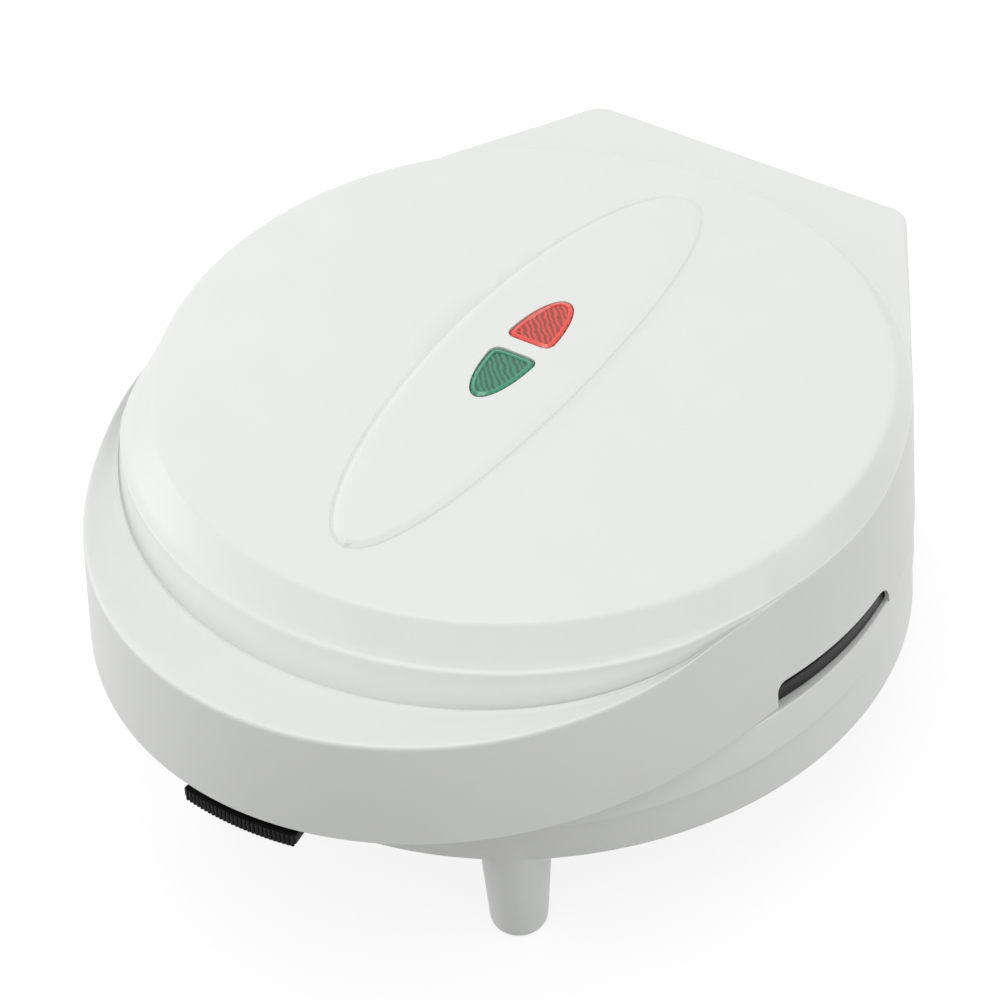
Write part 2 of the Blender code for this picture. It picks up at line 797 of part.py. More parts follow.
def lamp(name, side, material):
    """Neon glow lamp: a glass capsule with a pinched tip, lying under its lens."""
    half, tip = LAMP_LENGTH / 2, LAMP_RADIUS / 3
    profile = [(0.0, half), (tip, half - tip / 2), (LAMP_RADIUS * 0.8, half - LAMP_RADIUS),
               (LAMP_RADIUS, half - 2 * LAMP_RADIUS), (LAMP_RADIUS, -half), (0.0, -half)]
    item = turned(name, profile, 12)
    item.data.transform(Matrix.Rotation(-side * math.pi / 2, 4, "X"))
    spot = DISC_Y + side * (LENS_SPACING + LENS_LENGTH) / 2
    item.location = (0.0, spot, carrier_z() + LAMP_RADIUS + GAP)
    return make_part(item, material, lid_hinge)


def lamp_carrier():
    top = carrier_z()
    item = box("lamp_carrier", (-CARRIER_HALF_WIDTH, DISC_Y - CARRIER_HALF_LENGTH,
                                top - CARRIER_THICKNESS),
               (CARRIER_HALF_WIDTH, DISC_Y + CARRIER_HALF_LENGTH, top))
    for side in (1, -1):
        low, high = sorted((side * (LAMP_RADIUS + GAP), side * (LAMP_RADIUS + WALL / 2)))
        join(item, box("lamp_cheek", (low, DISC_Y - LENS_LENGTH, top - CARRIER_THICKNESS / 2),
                       (high, DISC_Y + LENS_LENGTH, top + LAMP_RADIUS)))
        spot = DISC_Y + side * CARRIER_BOSS_Y
        cut(item, cylinder("carrier_hole", CARRIER_SCREW_RADIUS + GAP,
                           (0.0, spot, top - CARRIER_THICKNESS - OVERRUN),
                           (0.0, spot, top + OVERRUN)))
    return make_part(item, dark_plastic, lid_hinge)


def screw(name, radius, length, head_radius, head_height, place, up, parent):
    """Round-headed screw whose shank starts under the head and points along +Z or -Z."""
    shoulder = head_height * 0.5
    profile = [(0.0, head_height), (head_radius * 0.6, head_height), (head_radius, shoulder),
               (head_radius, 0.0), (radius, 0.0), (radius, radius - length), (0.0, -length)]
    item = turned(name, profile, 12)
    if up > 0:
        item.data.transform(Matrix.Rotation(math.pi, 4, "X"))
    item.location = place
    return make_part(item, steel, parent)


def carrier_screws():
    under = carrier_z() - CARRIER_THICKNESS - GAP
    for label, side in (("front", -1), ("rear", 1)):
        screw("carrier_screw_" + label, CARRIER_SCREW_RADIUS, CARRIER_SCREW_LENGTH,
              CARRIER_HEAD_RADIUS, CARRIER_HEAD_HEIGHT,
              (0.0, DISC_Y + side * CARRIER_BOSS_Y, under), 1, lid_hinge)


# Cooking plates

def heart_outline(scale=1.0):
    """Heart of (x, y) points, its tip near the plate's centre and its lobes outward."""
    unit = HEART_LENGTH / HEART_SPAN_SHARE
    points = []
    for step in range(HEART_STEPS):
        turn = 2 * math.pi * (step + 0.5) / HEART_STEPS
        across = 16 * math.sin(turn) ** 3
        along = (13 * math.cos(turn) - 5 * math.cos(2 * turn)
                 - 2 * math.cos(3 * turn) - math.cos(4 * turn))
        points.append((across * unit * scale,
                       along * unit * scale + HEART_TIP_REACH + HEART_TIP_SHARE * unit))
    return points


def heart_block(name, sections):
    """A heart lofted through (scale, height) sections from top to bottom."""
    rings = [[Vector((x, y, height)) for x, y in heart_outline(scale)] for scale, height in sections]
    return loft(name, rings)


def rib(name, low, high, floor):
    """A waffle rib standing on the heart's floor."""
    return box(name, (*low, floor - OVERRUN), (*high, floor + RIB_HEIGHT))


def heart_cutter():
    """The heart's cavity less the ribs that cross its floor."""
    floor = -HEART_DEPTH
    lift = 1 + (1 - FLOOR_SCALE_SHARE) * OVERRUN / HEART_DEPTH
    cavity = heart_block("heart_cavity", ((lift, OVERRUN), (FLOOR_SCALE_SHARE, floor)))
    middle = HEART_TIP_REACH + HEART_LENGTH / 2
    reach = HEART_LENGTH
    for index in (-1, 0, 1):
        x = index * RIB_PITCH
        cut(cavity, rib("long_rib", (x - RIB_WIDTH / 2, middle - reach),
                        (x + RIB_WIDTH / 2, middle + reach), floor))
    for index in (-1, 0, 1):
        y = middle + (index + 0.25) * RIB_PITCH
        cut(cavity, rib("cross_rib", (-reach, y - RIB_WIDTH / 2), (reach, y + RIB_WIDTH / 2), floor))
    return cavity


def heart_copies(name, mesh):
    """One object for each heart round the plate, the first pointing straight back."""
    for index in range(HEART_COUNT):
        item = add_object(name, mesh)
        item.rotation_euler = (0.0, 0.0, 2 * math.pi * index / HEART_COUNT)
        yield item


def plate_mesh():
    """The casting about its own centre: face at zero height, hearts sunk below it."""
    plate = turned("plate_blank", [(0.0, 0.0), (PLATE_RADIUS - RIM_ROUND / 2, 0.0),
                                   (PLATE_RADIUS, -RIM_ROUND / 2), (PLATE_RADIUS, -PLATE_FLANGE),
                                   (0.0, -PLATE_FLANGE)])
    depth = HEART_DEPTH + HEART_FLOOR
    back = heart_block("heart_back", ((BACK_SCALE_SHARE, -PLATE_FLANGE / 2),
                                      (BACK_FLOOR_SHARE, -depth)))
    cavity = heart_cutter()
    for item in heart_copies("heart_backs", back.data):
        join(plate, item)
    for item in heart_copies("heart_cavities", evaluated_mesh(cavity)):
        cut(plate, item)
    for turn in SCREW_TURNS:
        x, y = screw_place(turn)
        y -= DISC_Y
        cut(plate, cylinder("plate_hole", SCREW_RADIUS + SCREW_CLEARANCE,
                            (x, y, -PLATE_FLANGE - OVERRUN), (x, y, OVERRUN)))
        cut(plate, cylinder("head_recess", SCREW_HEAD_RADIUS + SCREW_CLEARANCE,
                            (x, y, -SCREW_HEAD_HEIGHT - 2 * GAP), (x, y, OVERRUN)))
    mesh = evaluated_mesh(plate)
    for item in (back, cavity, plate):
        make_tool(item)
        item.hide_viewport = True
    return mesh


def reflector_mesh():
    """Sheet pan behind the element, open towards the plate."""
    flange = -PLATE_FLANGE - GAP
    floor = -PAN_DEPTH
    foot = PAN_RADIUS - 2 * SHEET
    profile = [(PAN_RADIUS, flange), (PAN_FLANGE_RADIUS, flange), (PAN_FLANGE_RADIUS, flange - SHEET),
               (PAN_RADIUS + SHEET, flange - SHEET), (foot + SHEET, floor - SHEET),
               (0.0, floor - SHEET), (0.0, floor), (foot, floor)]
    pan = turned("pan_blank", profile, 32, ring=True)
    for turn in SCREW_TURNS:
        x, y = screw_place(turn)
        cut(pan, cylinder("pan_hole", SCREW_RADIUS + SCREW_CLEARANCE,
                          (x, y - DISC_Y, flange - SHEET - OVERRUN), (x, y - DISC_Y, flange + OVERRUN)))
    for side in (1, -1):
        x, y = element_end(side)
        cut(pan, cylinder("pin_hole", PIN_HOLE_RADIUS, (x, y, floor - SHEET - OVERRUN),
                          (x, y, floor + OVERRUN)))
    mesh = evaluated_mesh(pan)
    make_tool(pan)
    pan.hide_viewport = True
    return mesh


def element_end(side):
    return (side * ELEMENT_RING_RADIUS * math.sin(ELEMENT_OPENING),
            ELEMENT_RING_RADIUS * math.cos(ELEMENT_OPENING))


def element_mesh():
    """Tubular element: an open ring against the plate's back, with its ends turned away."""
    level_z = -HEART_DEPTH - HEART_FLOOR - GAP - ELEMENT_RADIUS
    span = 2 * math.pi - 2 * ELEMENT_OPENING
    steps = 20
    bend = ELEMENT_BEND / ELEMENT_RING_RADIUS
    ring = []
    for step in range(steps + 1):
        turn = ELEMENT_OPENING + bend + (span - 2 * bend) * step / steps
        ring.append(Vector((ELEMENT_RING_RADIUS * math.sin(turn),
                            ELEMENT_RING_RADIUS * math.cos(turn), level_z)))
    points = []
    for side, order in ((1, 1), (-1, -1)):
        x, y = element_end(side)
        corner = ELEMENT_BEND * 0.3
        tail = [Vector((x, y, -ELEMENT_TAIL)), Vector((x, y, level_z - ELEMENT_BEND)),
                blend(Vector((x, y, level_z)), ring[0 if side > 0 else -1], 0.3)
                - Vector((0.0, 0.0, corner))]
        points.append(tail[::order])
    blank = as_mesh(tube("element_blank", points[0] + ring + points[1], ELEMENT_RADIUS))
    make_tool(blank)
    return blank.data


def half_part(name, mesh, face, up, material, parent):
    """Place a casting or pressing of one half; the upper half's is turned over about Y."""
    item = add_object(name, mesh.copy())
    if up > 0:
        item.data.transform(Matrix.Rotation(math.pi, 4, "Y"))
    item.location = (0.0, DISC_Y, face)
    shade_round(item)
    return make_part(item, material, parent)


def cooking_half(label, face, up, parent):
    half_part(label + "_plate", casting, face, up, black_coating, parent)
    half_part(label + "_reflector", pan, face, up, bright_sheet, parent)
    half_part(label + "_heating_element", element, face, up, steel, parent)
    names = ("front", "right", "left")
    for place, turn in zip(names, SCREW_TURNS):
        x, y = screw_place(turn)
        head = face + up * (SCREW_HEAD_HEIGHT + GAP)
        screw(f"{label}_plate_screw_{place}", SCREW_RADIUS, SCREW_LENGTH, SCREW_HEAD_RADIUS,
              SCREW_HEAD_HEIGHT, (x, y, head), up, parent)


# Base shell

def base_rings():
    crease = BASE_TOP_Z - CREASE_DROP
    top_round = BASE_TOP_INSET / 2
    low = BASE_UNDERSIDE_Z + EDGE_ROUND
    return [plan_ring(lambda a: base_reach(a, BASE_TOP_BULGE, BASE_TOP_INSET + top_round),
                      level(BASE_TOP_Z)),
            plan_ring(lambda a: base_reach(a, BASE_TOP_BULGE, BASE_TOP_INSET),
                      level(BASE_TOP_Z - top_round)),
            plan_ring(lambda a: base_reach(a, CREASE_BULGE), level(crease)),
            plan_ring(lambda a: base_reach(a, BOWL_TOP_BULGE, CREASE_STEP),
                      level(crease - CREASE_STEP)),
            plan_ring(lambda a: base_reach(a, BOWL_BOTTOM_BULGE), level(low)),
            plan_ring(lambda a: base_reach(a, BOWL_BOTTOM_BULGE, EDGE_ROUND * 0.3),
                      level(BASE_UNDERSIDE_Z + EDGE_ROUND * 0.3)),
            plan_ring(lambda a: base_reach(a, BOWL_BOTTOM_BULGE, EDGE_ROUND),
                      level(BASE_UNDERSIDE_Z))]


def base_cavity():
    inset = WALL + CREASE_STEP
    return loft("base_cavity", [
        plan_ring(lambda a: base_reach(a, BASE_TOP_BULGE, inset), level(BASE_TOP_Z - LIP_THICKNESS)),
        plan_ring(lambda a: base_reach(a, BOWL_TOP_BULGE, inset), level(BASE_TOP_Z - CREASE_DROP)),
        plan_ring(lambda a: base_reach(a, BOWL_BOTTOM_BULGE, inset),
                  level(BASE_UNDERSIDE_Z + WALL))])


def leg(name, x, y):
    """Tapered leg with a rounded tip and a small flat to stand on."""
    flat = LEG_TIP_RADIUS - LEG_ROUND
    middle = LEG_ROUND * (1 - math.sqrt(0.5))
    root = BASE_UNDERSIDE_Z + LEG_ROOT
    profile = [(0.0, root), (LEG_TOP_RADIUS, root), (LEG_TOP_RADIUS, BASE_UNDERSIDE_Z),
               (LEG_TIP_RADIUS, LEG_ROUND),
               (LEG_TIP_RADIUS - middle, middle), (flat, 0.0), (0.0, 0.0)]
    item = turned(name, profile, 12)
    item.location = (x, y, 0.0)
    return item


def leg_places():
    front = plan_point(FRONT_LEG_TURN, FRONT_LEG_REACH, 0.0)
    return ((front.x, front.y), (-front.x, front.y),
            (REAR_LEG_X, DISC_Y + REAR_LEG_BACK), (-REAR_LEG_X, DISC_Y + REAR_LEG_BACK))


def latch_catch():
    """Tongue on the base's front edge, just behind the latch's hook."""
    front = LATCH_Y + LATCH_HOOK_REACH + GAP
    hook_top = LATCH_Z - LATCH_LENGTH + LATCH_HOOK_HEIGHT
    return box("latch_catch", (-CATCH_HALF_WIDTH, front, hook_top + GAP),
               (CATCH_HALF_WIDTH, DISC_Y - SIDE_RADIUS - BASE_TOP_BULGE / 2,
                hook_top + GAP + CATCH_HEIGHT))


def base_shell():
    shell = loft("base_shell", base_rings())
    cut(shell, base_cavity())
    mouth = SIDE_RADIUS - WALL - LIP_WIDTH - WALL
    middle = (0.0, DISC_Y, BASE_TOP_Z - LIP_THICKNESS - OVERRUN)
    cut(shell, cylinder("base_mouth", mouth, middle, (0.0, DISC_Y, BASE_TOP_Z + OVERRUN), TURN_STEPS))
    for x, y in leg_places():
        join(shell, leg("leg", x, y))
    seat = post_seat(LOWER_FACE_Z, -1)
    for turn in SCREW_TURNS:
        x, y = screw_place(turn)
        join(shell, cylinder("base_post", POST_RADIUS, (x, y, BASE_UNDERSIDE_Z + WALL / 2),
                             (x, y, seat)))
    post_cuts(shell, -1, seat)
    join(shell, latch_catch())
    add_hinge_barrels(shell)
    cut(shell, cylinder("inlet_hole", INLET_RADIUS + GAP,
                        (INLET_X, DISC_Y + REAR_REACH - 2 * WALL, INLET_Z),
                        (INLET_X, DISC_Y + REAR_REACH + OVERRUN, INLET_Z)))
    return make_part(shell, white_plastic)


def add_hinge_barrels(shell):
    inner, knuckle, outer = hinge_spans()
    rear = DISC_Y + REAR_REACH + OVERRUN
    front = HINGE_Y - KNUCKLE_RADIUS - 2 * GAP
    for side in (1, -1):
        for start in (inner, outer):
            middle = side * (start + BARREL_LENGTH / 2)
            join(shell, across_slab("hinge_barrel", knuckle_outline(-1), BARREL_LENGTH / 2, middle))
        low, high = sorted((side * (knuckle - GAP), side * (knuckle + KNUCKLE_LENGTH + GAP)))
        cut(shell, box("knuckle_slot", (low, front, PARTING_Z - KNUCKLE_SLOT_DEPTH),
                       (high, rear, PARTING_Z + OVERRUN)))
    cut(shell, box("lead_notch", (-LEAD_NOTCH_HALF, front + WALL, PARTING_Z - LEAD_NOTCH_DEPTH),
                   (LEAD_NOTCH_HALF, rear, PARTING_Z + OVERRUN)))
    cut(shell, hinge_bore("base_bore"))


def hinge_pins():
    inner, _, outer = hinge_spans()
    start = inner + GAP
    end = outer + BARREL_LENGTH - OVERRUN - GAP
    for label, side in (("right", 1), ("left", -1)):
        item = cylinder("hinge_pin_" + label, HINGE_PIN_RADIUS,
                        (side * start - side * end / 2 - side * start / 2, 0.0, 0.0),
                        (side * end - side * end / 2 - side * start / 2, 0.0, 0.0))
        item.location = (side * (start + end) / 2, HINGE_Y, PARTING_Z)
        make_part(item, steel)


# Latch

def grip_ring(height, inset, taper):
    """Outline of the lever's lip: a row of ribs along the front that follows the lid's edge."""
    spread = math.asin((LATCH_HALF_WIDTH - taper) / (SIDE_RADIUS + LID_BULGE))
    steps = 2 * GRIP_RIB_COUNT
    ring = [plan_point(-spread, LATCH_PIVOT_FRONT, height)]
    for step in range(steps + 1):
        turn = spread * (2 * step / steps - 1)
        groove = GRIP_RIB_DEPTH * (1 - step % 2)
        ring.append(plan_point(turn, lid_reach(turn, inset + groove), height))
    return ring + [plan_point(spread, LATCH_PIVOT_FRONT, height)]


def latch_lever():
    """Lever hung on its pin: a plate with a hook behind its foot and a ribbed lip in front."""
    half = LATCH_THICKNESS / 2
    foot = LATCH_Z - LATCH_LENGTH
    hook_top = foot + LATCH_HOOK_HEIGHT
    tip = LATCH_Y + LATCH_HOOK_REACH
    outline = [(LATCH_Y - half, LATCH_Z), (LATCH_Y - half, foot), (tip - half, foot),
               (tip, foot + half), (tip, hook_top), (LATCH_Y + half, hook_top),
               (LATCH_Y + half, LATCH_Z)]
    item = across_slab("latch_lever", outline, LATCH_HALF_WIDTH)
    hub = LATCH_HALF_WIDTH - GAP
    join(item, cylinder("latch_hub", LATCH_HUB_RADIUS, (-hub, LATCH_Y, LATCH_Z),
                        (hub, LATCH_Y, LATCH_Z)))
    top = LATCH_Z - GRIP_DROP
    low = top - GRIP_HEIGHT
    join(item, loft("grip_lip", [grip_ring(top, GRIP_INSET, 0.0),
                                 grip_ring(low + GRIP_TAPER, GRIP_INSET, 0.0),
                                 grip_ring(low, GRIP_INSET + GRIP_RIB_DEPTH, GRIP_TAPER)]))
    room = LATCH_HUB_RADIUS + GAP
    cut(item, box("spring_room", (-LATCH_SPRING_ROOM, LATCH_Y - room, LATCH_Z - room),
                  (LATCH_SPRING_ROOM, LATCH_Y + room, LATCH_Z + room)))
    reach = LATCH_HALF_WIDTH + OVERRUN
    cut(item, cylinder("lever_bore", LATCH_PIN_RADIUS + GAP, (-reach, LATCH_Y, LATCH_Z),
                       (reach, LATCH_Y, LATCH_Z)))
    return make_part(item, black_plastic, latch_pivot)


def latch_pin():
    reach = LATCH_HALF_WIDTH + EAR_THICKNESS + GAP
    item = cylinder("latch_pin", LATCH_PIN_RADIUS, (-reach, 0.0, 0.0), (reach, 0.0, 0.0), 12)
    item.location = (0.0, LATCH_Y, LATCH_Z)
    return make_part(item, steel, lid_hinge)


def latch_spring():
    """Torsion spring round the latch pin, one arm behind the lever and one under the lid's roof."""
    half = LATCH_SPRING_ROOM - 4 * SPRING_WIRE
    steps = 9 * SPRING_TURNS
    coil = []
    for step in range(steps + 1):
        turn = 2 * math.pi * SPRING_TURNS * step / steps
        coil.append(Vector((half * (2 * step / steps - 1), SPRING_RADIUS * math.cos(turn),
                            SPRING_RADIUS * math.sin(turn))))
    seat = GAP + SPRING_WIRE
    lever_arm = Vector((-half, LATCH_THICKNESS / 2 + seat, -SPRING_ARM))
    roof_arm = Vector((half, SPRING_RADIUS + SPRING_WIRE,
                       RIM_Z - POCKET_ROOF_DROP - LATCH_Z - seat))
    item = tube("latch_spring", [lever_arm, *coil, roof_arm], SPRING_WIRE)
    item.data.bevel_resolution = 1
    item = as_mesh(item)
    item.location = (0.0, LATCH_Y, LATCH_Z)
    return make_part(item, steel, lid_hinge)


# Electrical pieces

def thermostat_z():
    """Outer face of the upper reflector, on which the thermostat and the fuse lie."""
    return UPPER_FACE_Z + PAN_DEPTH + SHEET + GAP


def thermostat():
    """Bimetal disc thermostat on the upper reflector, with two blade terminals."""
    floor = thermostat_z()
    profile = [(0.0, THERMOSTAT_HEIGHT), (THERMOSTAT_RADIUS * 0.75, THERMOSTAT_HEIGHT),
               (THERMOSTAT_RADIUS * 0.75, THERMOSTAT_HEIGHT / 3),
               (THERMOSTAT_RADIUS, THERMOSTAT_HEIGHT / 3), (THERMOSTAT_RADIUS, 0.0), (0.0, 0.0)]
    item = turned("thermostat", profile, 16)
    for side in (1, -1):
        spot = side * THERMOSTAT_TAB_SPACING / 2
        join(item, box("blade", (spot - SHEET / 2, -THERMOSTAT_TAB / 2, THERMOSTAT_HEIGHT / 2),
                       (spot + SHEET / 2, THERMOSTAT_TAB / 2, THERMOSTAT_HEIGHT + TAB_HEIGHT)))
        item.modifiers[-1].object.location = (0.0, DISC_Y, floor)
    item.location = (0.0, DISC_Y, floor)
    return make_part(item, dark_plastic, lid_hinge)


def thermal_fuse():
    """Capsule fuse lying on the upper reflector beside the thermostat."""
    half = FUSE_LENGTH / 2
    end = half + FUSE_LEAD_LENGTH
    profile = [(0.0, end), (FUSE_LEAD_RADIUS, end), (FUSE_LEAD_RADIUS, half), (FUSE_RADIUS, half),
               (FUSE_RADIUS, -half), (FUSE_LEAD_RADIUS, -half), (FUSE_LEAD_RADIUS, -end), (0.0, -end)]
    item = turned("thermal_fuse", profile, 12)
    item.data.transform(Matrix.Rotation(math.pi / 2, 4, "X"))
    item.location = (FUSE_PLACE, DISC_Y, thermostat_z() + FUSE_RADIUS)
    return make_part(item, bright_sheet, lid_hinge)


def terminal_block():
    """Three-way block on the base's floor; the wires run through its holes."""
    x, y = BLOCK_PLACE
    wide, deep, high = BLOCK_SIZE
    floor = BASE_UNDERSIDE_Z + WALL + GAP
    low = Vector((x - wide / 2, DISC_Y + y - deep / 2, floor))
    item = box("terminal_block", low, low + Vector(BLOCK_SIZE))
    for index in (-1, 0, 1):
        spot = x + index * wide / 3
        cut(item, cylinder("wire_way", BLOCK_HOLE_RADIUS, (spot, low.y - OVERRUN, floor + high / 2),
                           (spot, low.y + deep + OVERRUN, floor + high / 2), 12))
    return make_part(item, white_plastic)


def cord_bushing():
    """Bushing snapped into the rear wall where the supply cord enters."""
    rear = REAR_REACH + DISC_Y
    tail = 2 * WALL
    profile = [(BUSH_BORE_RADIUS, BUSH_FLANGE + GAP), (BUSH_FLANGE_RADIUS, BUSH_FLANGE + GAP),
               (BUSH_FLANGE_RADIUS, GAP), (INLET_RADIUS, GAP), (INLET_RADIUS, -tail),
               (BUSH_BORE_RADIUS, -tail)]
    item = turned("cord_bushing", profile, 16, ring=True)
    item.data.transform(Matrix.Rotation(-math.pi / 2, 4, "X"))
    item.location = (INLET_X, rear, INLET_Z)
    return make_part(item, black_plastic)


def lead(name, knots, radius, parent=None):
    wire = tube(name, smooth_path(knots), radius)
    wire.data.bevel_resolution = 1
    item = as_mesh(wire)
    shade_round(item)
    return make_part(item, lead_sleeve, parent)


def leads():
    """Sleeved leads; the base's and the lid's meet end to end on the hinge axis."""
    x, y = BLOCK_PLACE
    block_z = BASE_UNDERSIDE_Z + WALL + BLOCK_SIZE[2] / 2
    way = x - BLOCK_SIZE[0] / 3
    exit_y = DISC_Y + y + BLOCK_SIZE[1] / 2
    room_z = PARTING_Z - BASE_UNDERSIDE_Z / 2
    lead("base_lead", ((-GAP / 2, HINGE_Y, PARTING_Z), (-LEAD_RADIUS, HINGE_Y, PARTING_Z),
                       (-LEAD_X, HINGE_Y, PARTING_Z - LEAD_RADIUS), (-LEAD_X, HINGE_Y, room_z),
                       (way / 2, HINGE_Y, block_z + LEAD_X), (way, HINGE_Y - WALL, block_z),
                       (way, exit_y + GAP, block_z)), LEAD_RADIUS)
    turn_z = lead_z()
    tab_z = thermostat_z() + THERMOSTAT_HEIGHT + TAB_HEIGHT / 2
    tab = (THERMOSTAT_TAB_SPACING / 2, DISC_Y + THERMOSTAT_TAB / 2 + GAP, tab_z)
    wall = lead_wall_y()
    lead("lid_lead", ((GAP / 2, HINGE_Y, PARTING_Z), (LEAD_RADIUS, HINGE_Y, PARTING_Z),
                      (LEAD_X, HINGE_Y, PARTING_Z + LEAD_RADIUS),
                      (LEAD_X, HINGE_Y, turn_z - KNUCKLE_RADIUS), (LEAD_X, wall + WALL, turn_z),
                      (LEAD_X, wall - WALL, turn_z), (LEAD_X, (wall + DISC_Y) / 2, tab_z),
                      (LEAD_X, DISC_Y + 2 * THERMOSTAT_RADIUS, tab_z), tab),
         LEAD_RADIUS, lid_hinge)


# Materials and the moving empties

clear_scene()
parts = new_collection("heart_waffle_maker")
tools = new_collection("cutters")
white_plastic = new_material("white_plastic", (0.80, 0.82, 0.81), 0.42)
black_plastic = new_material("black_plastic", (0.015, 0.015, 0.016), 0.5)
dark_plastic = new_material("dark_phenolic", (0.05, 0.045, 0.04), 0.6)
black_coating = new_material("non_stick_coating", (0.02, 0.02, 0.02), 0.38)
steel = new_material("steel", (0.62, 0.62, 0.60), 0.3, 1.0)
bright_sheet = new_material("bright_sheet", (0.75, 0.76, 0.77), 0.28, 1.0)
red_lens_plastic = new_material("red_lens", (0.61, 0.08, 0.05), 0.12)
green_lens_plastic = new_material("green_lens", (0.10, 0.55, 0.34), 0.12)
lamp_glass = new_material("lamp_glass", (0.85, 0.83, 0.78), 0.08)
lead_sleeve = new_material("lead_sleeve", (0.72, 0.68, 0.60), 0.8)

lid_hinge = add_object("lid_hinge", None, (0.0, HINGE_Y, PARTING_Z))
latch_pivot = add_object("latch_pivot", None, (0.0, LATCH_Y, LATCH_Z))
move_to(parts, lid_hinge)
move_to(parts, latch_pivot)
bpy.context.view_layer.update()
latch_pivot.parent = lid_hinge
latch_pivot.matrix_parent_inverse = lid_hinge.matrix_world.inverted()

lid_shell()
lens("red_lens", 1, red_lens_plastic)
lens("green_lens", -1, green_lens_plastic)
lamp_carrier()
lamp("red_lamp", 1, lamp_glass)
lamp("green_lamp", -1, lamp_glass)
carrier_screws()
thermostat()
thermal_fuse()
latch_lever()
latch_pin()
latch_spring()

casting = plate_mesh()
pan = reflector_mesh()
element = element_mesh()
cooking_half("upper", UPPER_FACE_Z, 1, lid_hinge)
cooking_half("lower", LOWER_FACE_Z, -1, None)

base_shell()
hinge_pins()
terminal_block()
cord_bushing()
leads()
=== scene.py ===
"""Heart waffle maker: fine mouldings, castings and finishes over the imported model."""
import math

import bmesh
import bpy
from mathutils import Matrix, Vector


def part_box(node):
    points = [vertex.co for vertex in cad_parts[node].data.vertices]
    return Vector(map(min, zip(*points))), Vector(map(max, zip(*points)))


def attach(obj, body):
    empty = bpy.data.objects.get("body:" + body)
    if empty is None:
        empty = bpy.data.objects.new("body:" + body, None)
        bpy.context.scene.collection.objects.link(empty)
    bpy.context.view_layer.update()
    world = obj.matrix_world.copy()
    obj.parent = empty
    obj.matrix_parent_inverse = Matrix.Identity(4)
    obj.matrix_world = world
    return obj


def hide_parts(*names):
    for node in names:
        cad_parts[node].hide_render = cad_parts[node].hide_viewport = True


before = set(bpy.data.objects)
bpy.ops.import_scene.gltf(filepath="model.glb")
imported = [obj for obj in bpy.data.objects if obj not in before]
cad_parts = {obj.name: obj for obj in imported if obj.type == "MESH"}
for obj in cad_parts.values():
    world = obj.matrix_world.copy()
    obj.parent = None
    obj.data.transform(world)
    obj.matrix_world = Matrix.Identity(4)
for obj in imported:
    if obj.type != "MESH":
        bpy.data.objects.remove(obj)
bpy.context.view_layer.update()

bl_info = {
    "name": "Heart waffle maker",
    "version": (1, 0, 0),
    "blender": (4, 5, 0),
    "location": "View3D > Sidebar > Waffle maker",
    "description": "Builds a round waffle maker with five heart cavities, and its stage",
    "category": "Object",
}

PLATE_LOW, PLATE_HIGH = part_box("upper_plate")
LOWER_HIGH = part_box("lower_plate")[1]
HINGE_LOW, HINGE_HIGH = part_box("hinge_pin_right")
PIN_LOW, PIN_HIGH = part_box("latch_pin")

# Play between pieces, how far a cutter reaches past a face, and steps round a hole and a whole body
CLEARANCE = 0.0003
OVERRUN = 0.002
HOLE_STEPS = 24
BODY_STEPS = 160
MERGE_DISTANCE = 0.000002


def size(name, description, default):
    return bpy.props.FloatProperty(name=name, description=description, default=default,
                                   unit="LENGTH", precision=5)


def turn(name, description, degrees):
    return bpy.props.FloatProperty(name=name, description=description, unit="ROTATION",
                                   default=math.radians(degrees))


def share(name, description, default):
    return bpy.props.FloatProperty(name=name, description=description, default=default)


def colour(name, description, default):
    return bpy.props.FloatVectorProperty(name=name, description=description, default=default,
                                         subtype="COLOR", size=3, min=0.0, max=1.0)


class OutlineSizes(bpy.types.PropertyGroup):
    """The body's outline seen from above."""
    disc_y: size("Disc centre", "Disc centre along Y", (PLATE_LOW[1] + PLATE_HIGH[1]) / 2)
    disc_radius: size("Disc radius", "Radius of the lid's domed disc", 0.093)
    foot_radius: size("Foot radius", "Radius at the foot of the band round the disc", 0.0973)
    side_radius: size("Side radius", "Radius of the round body at the sides", 0.0986)
    rear_reach: size("Rear reach", "From the disc's centre to the back of the hinge box", 0.1125)
    rear_half_width: size("Rear half width", "Half the flat back of the hinge box", 0.0477)
    rear_corner: size("Rear corner", "Radius of the hinge box's upright corners", 0.008)
    lid_bulge: size("Lid bulge", "How far the lid's front grip stands out", 0.032)
    lid_spread: turn("Lid bulge spread", "Angle to each side over which the grip fades", 73)
    lid_power: share("Lid bulge power", "How quickly the grip fades", 1.5)
    lid_draft: size("Lid draft", "Lean of the lid's wall", 0.001)
    base_spread: turn("Base bulge spread", "Angle over which the base's front fades", 100)
    base_power: share("Base bulge power", "How quickly the base's front fades", 2.0)


